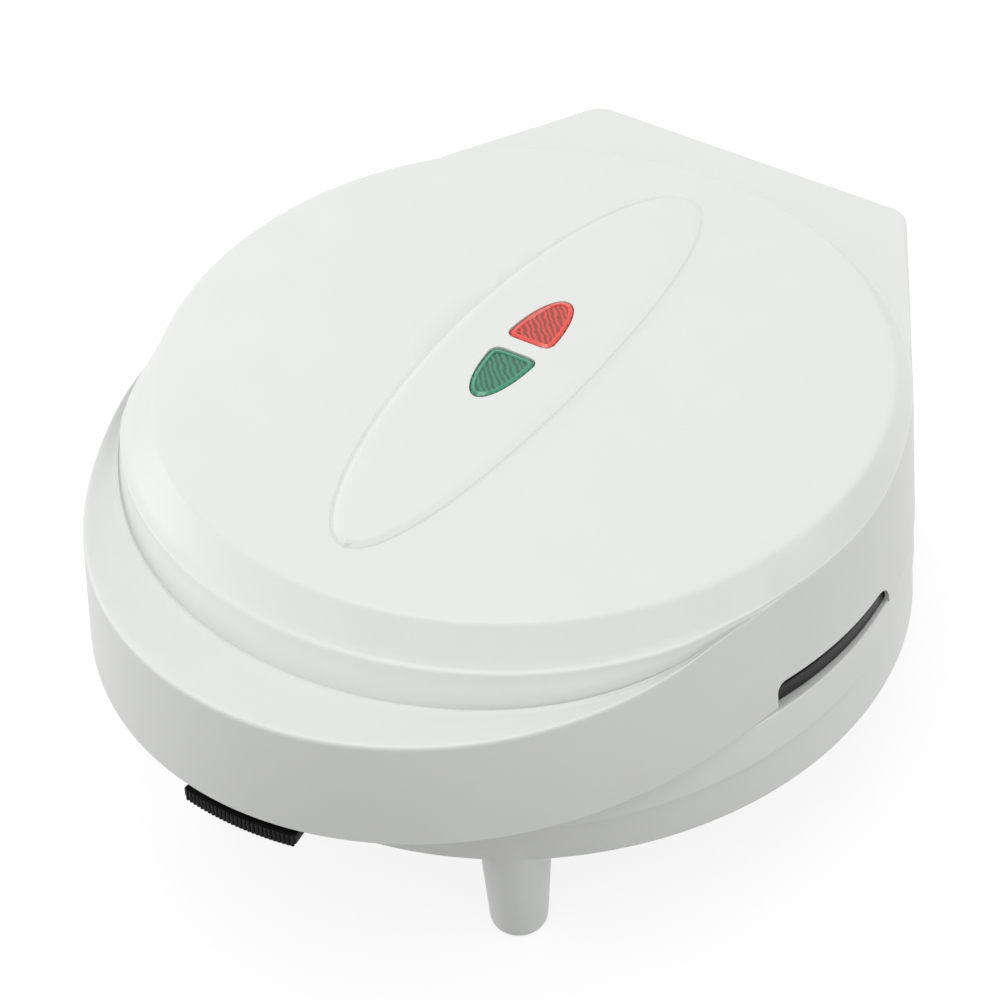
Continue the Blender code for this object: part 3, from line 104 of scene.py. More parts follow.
class LidSizes(bpy.types.PropertyGroup):
    """Heights and steps of the lid."""
    rim_z: size("Rim height", "Height of the disc's edge", 0.1012)
    dome_rise: size("Dome rise", "How far the disc's middle stands above its edge", 0.0067)
    foot_drop: size("Foot drop", "From the rim down to the band's foot", 0.0094)
    deck_drop: size("Deck drop", "From the rim down to the deck over the hinge", 0.0054)
    crest_drop: size("Crest drop", "From the rim down to the crest in front", 0.0170)
    shelf_drop: size("Shelf drop", "From the rim down to the outer ridge in front", 0.0123)
    valley_step: size("Valley step", "Depth of the dip between crest and shelf", 0.0012)
    foot_out: size("Foot out", "How much further out the band's foot stands in front", 0.0034)
    foot_up: size("Foot up", "How much higher the band's foot stands in front", 0.0024)
    disc_stretch: size("Disc stretch", "How much further the disc reaches in front", 0.0013)
    groove: size("Groove", "Depth of the groove at the band's foot", 0.0010)
    groove_width: size("Groove width", "Width of the groove at the band's foot", 0.0024)
    crest_dip: size("Crest dip", "Dip on the inner side of the crest", 0.0010)
    pocket_drop: size("Pocket drop", "From the rim down to the finger pocket's roof", 0.0200)
    ledge_drop: size("Ledge drop", "Slope of the narrow ledge at the sides", 0.0009)
    rim_round: size("Rim round", "Rounding of the disc's edge", 0.0015)
    edge_round: size("Edge round", "Rounding of the outer ridge", 0.0018)
    lip_round: size("Lip round", "Rounding of the lid's lower edge", 0.0004)
    edge_z: size("Edge height", "Height of the lid's lower edge", 0.0565)
    edge_lift: size("Edge lift", "How much higher the lower edge stands in front", 0.00115)
    wall: size("Wall", "Thickness of the mouldings", 0.0024)
    rim_wall: size("Rim wall", "Thickness of the wall round the plates", 0.0013)
    panel_length: size("Panel length", "Length of the oval panel", 0.158)
    panel_width: size("Panel width", "Width of the oval panel", 0.0404)
    panel_rise: size("Panel rise", "Height of the oval panel", 0.0009)
    panel_groove: size("Panel groove", "Width of the fine groove round the oval panel", 0.0010)
    panel_slope: size("Panel slope", "Width of the oval panel's sloping edge", 0.0022)
    panel_shift: size("Panel shift", "How far behind the panel's front end its gate mark stands", 0.0014)
    slot_turn: turn("Slot place", "Middle of a side slot, from straight ahead", 84.6)
    slot_half: size("Slot half length", "Half the length of a side slot", 0.0238)
    slot_height: size("Slot height", "Height of a side slot", 0.0074)
    slot_rear: size("Slot rear corner", "Rounding of a side slot's rear corner", 0.0066)
    slot_front: size("Slot front corner", "Rounding of a side slot's front corner", 0.0026)
    seat_height: size("Seat height", "Height of the lip that a plate seats on", 0.0022)
    seat_width: size("Seat width", "Width of the lip that a plate seats on", 0.0028)
    pocket_turn: turn("Pocket spread", "Angle to each side over which the finger pocket reaches", 52)
    room_turn: turn("Hinge room spread", "Angle to each side over which the hinge room reaches", 42)
    wire_hole: size("Wire hole", "Radius of the lead's hole", 0.0032)
    wire_x: size("Wire place", "Place of the lead's hole along X", 0.0052)
    wire_rise: size("Wire rise", "From the upper plate's face up to the lead's hole", 0.0264)


class BaseSizes(bpy.types.PropertyGroup):
    """Heights and steps of the base, and its legs."""
    top_z: size("Top height", "Height of the base's upper edge", 0.0562)
    under_z: size("Underside", "Height of the base's underside", 0.0290)
    top_inset: size("Top inset", "How far the upper edge stands in", 0.0006)
    top_bulge: size("Top bulge", "Front bulge at the upper edge", 0.0082)
    crease_drop: size("Crease drop", "From the upper edge down to the crease", 0.0116)
    crease_bulge: size("Crease bulge", "Front bulge at the crease", 0.0102)
    crease_step: size("Crease step", "Step under the crease", 0.0008)
    bowl_top: size("Bowl top bulge", "Front bulge where the bowl starts", 0.009)
    bowl_bottom: size("Bowl bottom bulge", "Front bulge at the bowl's foot", 0.0033)
    leg_top: size("Leg top radius", "Radius where a leg meets the base", 0.0091)
    leg_tip: size("Leg tip radius", "Radius near a leg's tip", 0.0073)
    leg_round: size("Leg rounding", "Rounding of a leg's tip", 0.0036)
    leg_root: size("Leg root", "How far a leg runs up into the base", 0.004)
    front_leg_reach: size("Front leg reach", "Front legs from the disc's centre", 0.0927)
    front_leg_turn: turn("Front leg angle", "Front legs from straight ahead", 30)
    rear_leg_x: size("Rear leg place", "Rear legs to each side", 0.036)
    rear_leg_back: size("Rear leg reach", "Rear legs behind the disc's centre", 0.1)
    mouth_depth: size("Mouth depth", "Depth of the round opening for the lower plate", 0.0042)
    catch_half: size("Catch half width", "Half the width of the latch's catch", 0.012)
    catch_height: size("Catch height", "Height of the latch's catch", 0.0026)
    inlet: size("Inlet radius", "Radius of the cord's inlet", 0.0049)
    inlet_x: size("Inlet place", "Place of the cord's inlet along X", 0.026)
    inlet_z: size("Inlet height", "Height of the cord's inlet", 0.041)
    inlet_depth: size("Inlet depth", "From behind the rear wall to the inlet's inner end", 0.0068)


class HingeSizes(bpy.types.PropertyGroup):
    """The hinge at the back."""
    axis_y: size("Hinge place", "Hinge axis along Y", (HINGE_LOW[1] + HINGE_HIGH[1]) / 2)
    axis_z: size("Hinge height", "Height of the hinge axis", (HINGE_LOW[2] + HINGE_HIGH[2]) / 2)
    pin: size("Pin radius", "Radius of the hinge pins", 0.002)
    knuckle: size("Knuckle radius", "Radius of knuckles and barrels", 0.0062)
    knuckle_length: size("Knuckle length", "Length of the lid's knuckle", 0.0115)
    barrel_length: size("Barrel length", "Length of a barrel on the base", 0.01)
    notch: size("Lead notch", "Half the notch for the lead", 0.0085)
    cut_height: size("Cut height", "Height of the lid's cut for the hinge", 0.009)
    cut_lead: size("Cut lead", "How far the cut starts ahead of the axis", 0.002)
    lid_neck: size("Lid neck", "From the axis up to a knuckle's root", 0.013)
    base_neck: size("Base neck", "From the axis down to a barrel's root", 0.005)
    blind_end: size("Blind end", "Wall left at the outer end of the bore", 0.002)
    slot_gap: size("Slot gap", "From a knuckle to the front of its slot in the base", 0.0006)
    slot_depth: size("Slot depth", "Depth of a knuckle's slot under the axis", 0.0085)
    notch_depth: size("Notch depth", "Depth of the lead's notch under the axis", 0.0045)


class PlateSizes(bpy.types.PropertyGroup):
    """The two cast cooking plates."""
    radius: size("Plate radius", "Radius of a cooking plate", 0.0969)
    flange: size("Flange", "Thickness of the plate's rim", 0.0034)
    skirt: size("Skirt", "From the lower plate's face down to its skirt's edge", LOWER_HIGH[2] - 0.0566)
    lower_z: size("Lower face", "Height of the lower plate's face", LOWER_HIGH[2])
    upper_z: size("Upper face", "Height of the upper plate's face", PLATE_LOW[2])
    hearts: bpy.props.IntProperty(name="Hearts", description="Heart cavities in a plate", default=5)
    heart_length: size("Heart length", "From a heart's tip to its lobes", 0.066)
    heart_width: share("Heart width", "Share of the plain heart curve's width", 0.87)
    tip_reach: size("Tip reach", "From the plate's centre to a heart's tip", 0.005)
    depth: size("Depth", "Depth of a heart cavity", 0.008)
    floor: size("Floor", "Metal under a heart cavity", 0.0025)
    rib_height: size("Rib height", "Height of the waffle ribs", 0.0033)
    rib_width: size("Rib width", "Width of the waffle ribs", 0.0024)
    rib_pitch: size("Rib pitch", "From one waffle rib to the next", 0.015)
    screw_reach: size("Screw reach", "Plate screws from the disc's centre", 0.0845)
    post: size("Post radius", "Radius of a screw post", 0.004)
    post_gap: size("Post gap", "From a plate's back to its screw posts", 0.0014)
    screw_hole: size("Screw hole", "Radius of the holes for the plate screws", 0.0019)
    thread_depth: size("Thread depth", "Depth of a screw post's hole", 0.01)
    head_hole: size("Head recess radius", "Radius of the recess for a screw's head", 0.0034)
    head_depth: size("Head recess depth", "Depth of the recess for a screw's head", 0.0023)


class LatchSizes(bpy.types.PropertyGroup):
    """The latch lever under the lid's front edge, and its spring."""
    axis_y: size("Latch place", "Latch pin along Y", (PIN_LOW[1] + PIN_HIGH[1]) / 2)
    axis_z: size("Latch height", "Height of the latch pin", (PIN_LOW[2] + PIN_HIGH[2]) / 2)
    half_width: size("Half width", "Half the lever's width", 0.0165)
    thickness: size("Thickness", "Thickness of the lever", 0.003)
    hub: size("Hub radius", "Radius of the lever's hub", 0.0036)
    pin: size("Pin radius", "Radius of the latch pin", 0.0015)
    length: size("Length", "From the pin to the lever's foot", 0.024)
    hook_reach: size("Hook reach", "From the pin back to the hook's tip", 0.0078)
    hook_height: size("Hook height", "Height of the hook", 0.0026)
    grip_top: size("Grip top", "From the pin down to the ribbed lip", 0.0183)
    grip_height: size("Grip height", "Height of the ribbed lip", 0.0045)
    grip_inset: size("Grip inset", "How far the lip stands behind the lid's edge", 0.0001)
    grip_taper: size("Grip taper", "Taper of the lip's lower corners", 0.0018)
    rib_count: bpy.props.IntProperty(name="Ribs", description="Ribs on the lip", default=27)
    rib_depth: size("Rib depth", "How far a rib stands out", 0.00042)
    spring_room: size("Spring room", "Half the gap in the hub for the spring", 0.0085)
    spring_radius: size("Spring radius", "Radius of the spring's turns", 0.0029)
    spring_wire: size("Spring wire", "Radius of the spring's wire", 0.0004)
    spring_turns: bpy.props.IntProperty(name="Turns", description="Turns of the spring", default=4)
    spring_arm: size("Spring arm", "Length of the spring's arm", 0.009)
    ear_reach: size("Ear reach", "From the lever's side to an ear's outer face", 0.0031)
    ear_half: size("Ear half width", "Half the width of an ear of the lid", 0.0042)


class LensSizes(bpy.types.PropertyGroup):
    """The two lamp lenses."""
    length: size("Lens length", "Length of a lens", 0.0191)
    half_width: size("Half width", "Half the width of a lens", 0.0066)
    spacing: size("Spacing", "Gap between the lenses", 0.0047)
    flange: size("Flange", "Retaining flange under the dome", 0.0012)
    crown: size("Crown", "How far a lens stands above the dome", 0.0009)
    corner: size("Corner", "Rounding of a lens's inner corners", 0.0022)
    bevel: size("Bevel", "Width of a lens's bright edge", 0.0016)
    facet: size("Facet", "Depth of the facets inside the edge", 0.0004)
    window_gap: size("Window gap", "Play between a lens and its window", 0.00012)
    carrier_drop: size("Carrier drop", "From the dome's top down to the lamp carrier", 0.0102)
    boss_reach: size("Boss reach", "Carrier bosses from the disc's centre", 0.0275)
    boss: size("Boss radius", "Radius of a carrier boss", 0.003)
    boss_hole: size("Boss hole", "Radius of a carrier boss's hole", 0.0015)


class Colours(bpy.types.PropertyGroup):
    """Colours of the finishes and of the stage."""
    white: colour("White plastic", "Mouldings of lid and base", (0.818, 0.833, 0.81))
    black: colour("Black plastic", "Latch lever and bushing", (0.008, 0.008, 0.009))
    phenolic: colour("Dark plastic", "Lamp carrier and thermostat", (0.05, 0.045, 0.04))
    coating: colour("Non-stick coating", "Cooking plates", (0.010, 0.010, 0.010))
    steel: colour("Steel", "Pins, screws, spring and elements", (0.62, 0.62, 0.60))
    sheet: colour("Bright sheet", "Reflectors and fuse", (0.75, 0.76, 0.77))
    red: colour("Red lens", "Lens over the red lamp", (0.82, 0.07, 0.045))
    green: colour("Green lens", "Lens over the green lamp", (0.035, 0.29, 0.165))
    glass: colour("Lamp glass", "Neon lamps", (0.85, 0.83, 0.78))
    sleeve: colour("Lead sleeve", "Braided sleeves of the leads", (0.72, 0.68, 0.60))
    floor: colour("Floor", "The pale floor", (0.25, 0.25, 0.25))


class StageSizes(bpy.types.PropertyGroup):
    """Camera, lamps and floor."""
    azimuth: turn("Azimuth", "How far the camera stands to the right of straight ahead", 34.92)
    elevation: turn("Elevation", "How far the camera looks down", 40.83)
    roll: turn("Roll", "Turn of the picture about the line of sight", -2.96)
    distance: size("Distance", "From the disc's centre to the camera", 1.21728)
    shift_right: size("Right", "Camera's place to the right of the line of sight", -0.00744)
    shift_up: size("Up", "Camera's place above the line of sight", -0.03199)
    focal: bpy.props.FloatProperty(name="Focal length", description="Camera's focal length",
                                   default=174.9, unit="CAMERA")
    key_power: bpy.props.FloatProperty(name="Key power", description="Overhead softbox",
                                       default=2.9, unit="POWER")
    left_power: bpy.props.FloatProperty(name="Left power", description="Softbox on the left",
                                        default=3.9, unit="POWER")
    right_power: bpy.props.FloatProperty(name="Right power", description="Softbox on the right",
                                         default=2.2, unit="POWER")
    sky: share("Sky", "Strength of the even light all round", 0.82)
    floor_glow: share("Floor glow", "Light that the floor adds where the camera sees it", 0.83)


GROUPS = {"outline": OutlineSizes, "lid": LidSizes, "base": BaseSizes, "hinge": HingeSizes,
          "plates": PlateSizes, "latch": LatchSizes, "lenses": LensSizes, "colours": Colours,
          "stage": StageSizes}


def group(name):
    return getattr(bpy.context.scene, "waffle_" + name)


# Meshes

def new_object(name, mesh):
    item = bpy.data.objects.new(name, mesh)
    bpy.context.scene.collection.objects.link(item)
    return item


def mesh_from(shape, name):
    mesh = bpy.data.meshes.new(name)
    shape.to_mesh(mesh)
    shape.free()
    return new_object(name, mesh)


def loft(name, rings):
    """A closed skin over rings of points from top to bottom; a ring of one point is a pole."""
    shape = bmesh.new()
    loops = [[shape.verts.new(point) for point in ring] for ring in rings]
    for upper, lower in zip(loops, loops[1:]):
        count = max(len(upper), len(lower))
        for index in range(count):
            after = (index + 1) % count
            corners = [upper[index % len(upper)], lower[index % len(lower)],
                       lower[after % len(lower)], upper[after % len(upper)]]
            shape.faces.new(list(dict.fromkeys(corners)))
    for loop in (loops[0], loops[-1]):
        if len(loop) > 1:
            shape.faces.new(loop)
    bmesh.ops.recalc_face_normals(shape, faces=shape.faces)
    return mesh_from(shape, name)


def box(name, low, high):
    shape = bmesh.new()
    low, high = Vector(low), Vector(high)
    bmesh.ops.create_cube(shape, size=1.0)
    bmesh.ops.scale(shape, vec=high - low, verts=shape.verts)
    bmesh.ops.translate(shape, vec=(low + high) / 2, verts=shape.verts)
    return mesh_from(shape, name)


def bar(name, radius, low, high, steps=48):
    """A round bar from one end point to the other."""
    low, high = Vector(low), Vector(high)
    along = high - low
    shape = bmesh.new()
    bmesh.ops.create_cone(shape, cap_ends=True, segments=steps, radius1=radius, radius2=radius,
                          depth=along.length)
    aim = along.to_track_quat("Z", "Y").to_matrix().to_4x4()
    bmesh.ops.transform(shape, matrix=Matrix.Translation((low + high) / 2) @ aim, verts=shape.verts)
    return mesh_from(shape, name)


def turned(name, profile, place, steps=96):
    """A profile of (radius, height) points, outer side running down, turned about an upright axis."""
    rings = []
    for radius, height in profile:
        if radius < 1e-7:
            rings.append([Vector((place[0], place[1], height))])
        else:
            rings.append([Vector((place[0] + radius * math.cos(2 * math.pi * step / steps),
                                  place[1] + radius * math.sin(2 * math.pi * step / steps), height))
                          for step in range(steps)])
    return loft(name, rings)


def slab(name, outline, low, high):
    """A flat outline of (x, y) points raised between two heights."""
    return loft(name, [[Vector((x, y, high)) for x, y in outline],
                       [Vector((x, y, low)) for x, y in outline]])


def across_slab(name, outline, half_width, middle=0.0):
    """An outline of (y, z) points raised along X on both sides of a middle."""
    return loft(name, [[Vector((middle + half_width, y, z)) for y, z in outline],
                       [Vector((middle - half_width, y, z)) for y, z in outline]])


def combine(item, tool, operation):
    step = item.modifiers.new(tool.name, "BOOLEAN")
    step.operation = operation
    step.solver = "EXACT"
    step.object = tool
    tool.hide_render = True
    return item


def cut(item, tool):
    return combine(item, tool, "DIFFERENCE")


def join(item, tool):
    return combine(item, tool, "UNION")


def settle(item):
    """Replaces the object's mesh by its evaluated form, and drops the modifiers and their tools."""
    bpy.context.view_layer.update()
    graph = bpy.context.evaluated_depsgraph_get()
    made = bpy.data.meshes.new_from_object(item.evaluated_get(graph))
    tools = [step.object for step in item.modifiers if step.type == "BOOLEAN"]
    if not made.polygons:
        raise RuntimeError(item.name + " came out empty")
    shape = bmesh.new()
    shape.from_mesh(made)
    bmesh.ops.remove_doubles(shape, verts=shape.verts, dist=MERGE_DISTANCE)
    shape.to_mesh(made)
    shape.free()
    item.modifiers.clear()
    item.data = made
    for tool in tools:
        bpy.data.objects.remove(tool, do_unlink=True)
    return item


def soften(item, angle=32):
    item.data.shade_smooth()
    item.data.set_sharp_from_angle(angle=math.radians(angle))
    return item


def finish_piece(item, name, material, body, slot, *nodes):
    """Gives a piece its name and finish, and puts it on its body in place of its CAD nodes."""
    item.name = item.data.name = name
    item.data.materials.clear()
    item.data.materials.append(material)
    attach(item, body)
    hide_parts(*nodes)
    return item


def blend(low, high, part):
    return low + (high - low) * part


def ease(part):
    part = min(1.0, max(0.0, part))
    return part * part * (3 - 2 * part)


CORNER_SHARE = 0.45


def rounded(corners):
    """Softens a section's corners: each is (reach, height, lead in, lead out, steps)."""
    points = []
    for index, (reach, height, lead_in, lead_out, steps) in enumerate(corners):
        here = Vector((reach, height))
        if not steps:
            points.append(here)
            continue
        before = Vector(corners[index - 1][:2]) - here
        after = Vector(corners[index + 1][:2]) - here
        start = here + before.normalized() * min(lead_in, before.length * CORNER_SHARE)
        stop = here + after.normalized() * min(lead_out, after.length * CORNER_SHARE)
        for step in range(steps + 1):
            t = step / steps
            points.append(start * (1 - t) ** 2 + here * 2 * t * (1 - t) + stop * t * t)
    return points


# The body's outline

def side_turn(o):
    return (math.atan2(o.rear_half_width, o.rear_reach)
            + math.acos(o.side_radius / math.hypot(o.rear_half_width, o.rear_reach)))


def rear_corner(o):
    back = o.rear_reach - o.rear_corner
    lean = side_turn(o)
    return (o.side_radius - o.rear_corner - back * math.cos(lean)) / math.sin(lean), back


def corner_turns(o, inset=0.0):
    across, back = rear_corner(o)
    radius = o.rear_corner - inset
    lean = side_turn(o)
    return (math.atan2(across, back + radius),
            math.atan2(across + radius * math.sin(lean), back + radius * math.cos(lean)))


def box_reach(o, angle, inset=0.0):
    """Distance from the disc's centre to the round body and its rear hinge box."""
    back_turn = abs(math.pi - abs(angle))
    start, end = corner_turns(o, inset)
    lean = side_turn(o)
    if back_turn < start:
        return (o.rear_reach - inset) / math.cos(back_turn)
    if back_turn < end:
        across, back = rear_corner(o)
        along = across * math.sin(back_turn) + back * math.cos(back_turn)
        radius = o.rear_corner - inset
        return along + math.sqrt(radius ** 2 - across ** 2 - back ** 2 + along ** 2)
    if back_turn < lean:
        return (o.side_radius - inset) / math.cos(lean - back_turn)
    return o.side_radius - inset


def bulge_share(angle, spread, power):
    if abs(angle) >= spread:
        return 0.0
    return math.cos(math.pi / 2 * angle / spread) ** power


def lid_reach(o, angle, inset=0.0):
    return box_reach(o, angle, inset) + o.lid_bulge * bulge_share(angle, o.lid_spread, o.lid_power)


def base_reach(o, angle, bulge, inset=0.0):
    return box_reach(o, angle, inset) + bulge * bulge_share(angle, o.base_spread, o.base_power)


def plan_angles(o, marks):
    """Angles of the outline's points, close together where it turns sharply."""
    start, end = corner_turns(o)
    stops = (0.0, o.lid_spread, math.pi - side_turn(o), math.pi - end, math.pi - start, math.pi)
    right = []
    for low, high, count in zip(stops, stops[1:], marks):
        right += [low + (high - low) * step / count for step in range(count)]
    return right + [math.pi] + [-angle for angle in reversed(right[1:])]


# Steps of the outline's stretches: front, side, slanting wall, corner and flat back
FINE = (90, 28, 6, 12, 10)
EVEN = (36, 16, 4, 6, 4)


def plan_point(o, angle, reach, height):
    return Vector((reach * math.sin(angle), o.disc_y - reach * math.cos(angle), height))


def section_loft(name, o, section, marks, pole=None):
    """Lofts sections, each a list of (reach, height) points, taken at every angle of the outline."""
    angles = plan_angles(o, marks)
    sections = [section(angle) for angle in angles]
    rings = [] if pole is None else [[Vector((0.0, o.disc_y, pole))]]
    for index in range(len(sections[0])):
        rings.append([plan_point(o, angle, *points[index])
                      for angle, points in zip(angles, sections)])
    return loft(name, rings)


def crescent(name, o, near, far, spread, centre, low, high, steps=40):
    """A slab between two reaches over a span of angles."""
    turns = [centre + spread * (2 * step / steps - 1) for step in range(steps + 1)]
    outer = [plan_point(o, angle, far(angle), 0.0) for angle in turns]
    inner = [plan_point(o, angle, near(angle), 0.0) for angle in reversed(turns)]
    return slab(name, [(point.x, point.y) for point in outer + inner], low, high)


# Lid

def dome_height(reach):
    o, lid = group("outline"), group("lid")
    return lid.rim_z + lid.dome_rise * (1 - (reach / o.disc_radius) ** 2)


def deck_height(angle):
    o, lid = group("outline"), group("lid")
    rise = ease((abs(angle) - math.pi / 2) / (side_turn(o) / 2))
    return lid.rim_z - blend(lid.foot_drop, lid.deck_drop, rise)


# The lid's section: shares of the disc's radius, then shares of the way out from the groove to the
# outer ridge, and of the way down where a pair is given
DOME_SHARES = (0.06, 0.14, 0.22, 0.3, 0.38, 0.46, 0.54, 0.62, 0.7, 0.78, 0.86, 0.93)
COVE_SHARES = (0.055, 0.58)
DIP_SHARE = 0.125
CREST_SHARE = 0.165
VALLEY_SHARE = 0.31
SHELF_SHARES = (0.66, 1 / 3)
GROOVE_SHARE = 0.2
GROOVE_RATE = 2.5
GROOVE_END_SHARE = 1.1
RIM_SHRINK_SHARE = 0.35
CREST_LIFT = 0.0005
EDGE_INSET = 0.003
# The ledge at the sides slopes fully where it is narrower than this start, and not at all where it is
# wider by this span
LEDGE_START = 0.001
LEDGE_SPAN = 0.004
# Roundings of the section's corners: lead in, lead out and steps
SHARP = (0, 0, 0)
FOOT_SOFT = (0.0006, 0.0005, 4)
GROOVE_SOFT = (0.0006, 0.0006, 5)
START_SOFT = (0.0006, 0.0008, 4)
COVE_SOFT = (0.003, 0.003, 5)
DIP_SOFT = (0.001, 0.0005, 4)
CREST_SOFT = (0.0006, 0.0009, 5)
VALLEY_SOFT = (0.0015, 0.0030, 4)
SHELF_SOFT = (0.004, 0.004, 4)


def lid_section(angle):
    """The lid's outside from near the pole to the lower edge."""
    o, lid = group("outline"), group("lid")
    depth = 1 - (1 - bulge_share(angle, o.lid_spread, o.lid_power)) ** 3
    ahead = ease(GROOVE_RATE * depth)
    deck = deck_height(angle) + lid.foot_up * ahead
    foot = o.foot_radius + lid.foot_out * depth
    disc = o.disc_radius + lid.disc_stretch * max(0.0, math.cos(angle)) ** 2
    crest = blend(deck, lid.rim_z - lid.crest_drop, depth)
    valley = crest - lid.valley_step * 4 * depth * (1 - depth)
    shelf = blend(deck, lid.rim_z - lid.shelf_drop, depth)
    edge = lid_reach(o, angle, o.lid_draft)
    narrow = min(1.0, max(0.0, 1 - (edge - foot - LEDGE_START) / LEDGE_SPAN)) * (1 - depth)
    ledge = lid.ledge_drop * narrow
    near = min(lid.groove_width / 2, (edge - foot) * GROOVE_SHARE)
    start = foot + 2 * near
    rim = lid.rim_round * (1 - RIM_SHRINK_SHARE * depth)
    lower = lid.edge_z + lid.edge_lift * depth
    corners = [(disc * part, dome_height(o.disc_radius * part), *SHARP) for part in DOME_SHARES]
    corners += [(disc, lid.rim_z, rim, rim, 6),
                (foot, deck, *FOOT_SOFT),
                (foot + near, deck - lid.groove * ahead, *GROOVE_SOFT),
                (start, deck - lid.groove * GROOVE_END_SHARE * ahead, *START_SOFT)]
    for part, height, soft in (
            (COVE_SHARES[0], blend(deck, crest, COVE_SHARES[1]), COVE_SOFT),
            (DIP_SHARE, crest - lid.crest_dip * depth, DIP_SOFT),
            (CREST_SHARE, crest + CREST_LIFT * depth, CREST_SOFT),
            (VALLEY_SHARE, valley, VALLEY_SOFT),
            (SHELF_SHARES[0], blend(valley, shelf, SHELF_SHARES[1]), SHELF_SOFT)):
        corners.append((blend(start, edge, part), height - ledge * part, *soft))
    corners += [(edge, shelf - ledge, lid.edge_round, lid.edge_round, 6),
                (lid_reach(o, angle), lower, lid.lip_round, lid.lip_round, 3),
                (lid_reach(o, angle, EDGE_INSET), lower, *SHARP)]
    return rounded(corners)


OVAL_STEPS = 128
OVAL_SHARES = (0.8, 0.6, 0.4, 0.2)
PANEL_EDGE_SHARES = ((1.0, 1.0), (0.7, 0.8), (0.35, 0.3), (0.0, -0.25))
PANEL_SINK = 0.0016
FINE_GROOVE_DEPTH = 0.00035
FINE_GROOVE_SHARE = 0.4
FINE_GROOVE_RISE = 0.0015


def oval_skin(name, levels):
    """A closed oval skin that follows the dome; levels are (inset, rise), from its top to its underside."""
    o, lid = group("outline"), group("lid")
    half_wide, half_long = lid.panel_width / 2, lid.panel_length / 2
    top, bottom = levels[0][1], levels[-1][1]
    rings = [[Vector((0.0, o.disc_y, dome_height(0.0) + top))]]
    for inset, rise in ([(half_wide * part, top) for part in OVAL_SHARES] + levels
                        + [(half_wide * part, bottom) for part in reversed(OVAL_SHARES)]):
        ring = []
        for step in range(OVAL_STEPS):
            angle = 2 * math.pi * step / OVAL_STEPS
            x = (half_wide - inset) * math.cos(angle)
            y = (half_long - inset * half_long / half_wide if inset > lid.panel_slope
                 else half_long - inset) * math.sin(angle)
            ring.append(Vector((x, o.disc_y + y, dome_height(math.hypot(x, y)) + rise)))
        rings.append(ring)
    rings.append([Vector((0.0, o.disc_y, dome_height(0.0) + bottom))])
    return loft(name, rings)


def oval_panel():
    """The slightly raised oval with a soft sloping edge."""
    lid = group("lid")
    edge = [(lid.panel_slope * inset, lid.panel_rise * rise) for inset, rise in PANEL_EDGE_SHARES]
    return oval_skin("oval_panel", edge + [(0.0, -PANEL_SINK)])


def oval_groove():
    """Cutter for the fine groove round the oval panel."""
    width = group("lid").panel_groove
    return oval_skin("oval_groove", [
        (-width, FINE_GROOVE_RISE), (-width, 0.0),
        (-width * FINE_GROOVE_SHARE, -FINE_GROOVE_DEPTH), (0.0, -FINE_GROOVE_DEPTH)])


GATE_SHARE = 0.7
GATE_SHAPE = ((0.0, 0.0006), (0.0007, 0.0004), (0.0013, -0.0002), (0.0013, -0.001), (0.0, -0.001))


def gate_mark():
    """The small round mark at the front end of the oval panel; its shape is (radius, rise) points."""
    o, lid = group("outline"), group("lid")
    tip = o.disc_y + lid.panel_shift - lid.panel_length / 2
    level = dome_height(o.disc_y - tip) + lid.panel_rise * GATE_SHARE
    return turned("gate_mark", [(radius, level + rise) for radius, rise in GATE_SHAPE], (0.0, tip), 24)


ROOM_SHARES = (0.0, 0.15, 0.3, 0.45, 0.6, 0.75, 0.9)


def lid_hollow():
    """Recess for the plates, seat lip, and the room under the dome."""
    o, lid, plates = group("outline"), group("lid"), group("plates")
    seat = plates.upper_z + plates.flange + CLEARANCE
    room = seat + lid.seat_height
    below = lid.edge_z - OVERRUN
    crown = o.disc_radius - lid.wall
    lip = o.side_radius - 2 * lid.wall - lid.seat_width
    inside = o.side_radius - lid.wall - o.lid_draft
    round_plate = o.side_radius - lid.rim_wall
    profile = [(crown * part, dome_height(crown * part) - lid.wall) for part in ROOM_SHARES]
    profile += [(crown, lid.rim_z - lid.wall), (inside, lid.rim_z - lid.foot_drop - lid.wall),
                (inside, room), (lip, room), (lip, seat), (round_plate, seat), (round_plate, below),
                (0.0, below)]
    return turned("lid_hollow", profile, (0.0, o.disc_y), BODY_STEPS)


SLOT_STEPS = 8
SLOT_REACH = 0.0045
SLOT_SHIFT = 0.001


def side_slot(side):
    """Notch in the lid's lower edge with rounded upper corners."""
    o, lid = group("outline"), group("lid")
    centre, half, high = lid.slot_turn, lid.slot_half, lid.slot_height
    outline = [(-half, -high), (half, -high)]
    for end, corner, start in ((half, lid.slot_rear, 0.0), (-half, lid.slot_front, math.pi / 2)):
        middle = end - math.copysign(corner, end)
        for step in range(SLOT_STEPS + 1):
            angle = start + math.pi / 2 * step / SLOT_STEPS
            outline.append((middle + corner * math.cos(angle), high - corner + corner * math.sin(angle)))
    spot = plan_point(o, side * centre, o.side_radius - lid.wall + SLOT_SHIFT, lid.edge_z)
    along = Vector((side * math.cos(centre), math.sin(centre), 0.0))
    out = Vector((math.sin(side * centre), -math.cos(side * centre), 0.0))
    return loft("side_slot", [[spot + out * depth + along * x + Vector((0.0, 0.0, z)) for x, z in outline]
                              for depth in (SLOT_REACH, -SLOT_REACH)])


def hinge_spans():
    h = group("hinge")
    inner = h.notch + CLEARANCE
    knuckle = inner + h.barrel_length + CLEARANCE
    return inner, knuckle, knuckle + h.knuckle_length + CLEARANCE


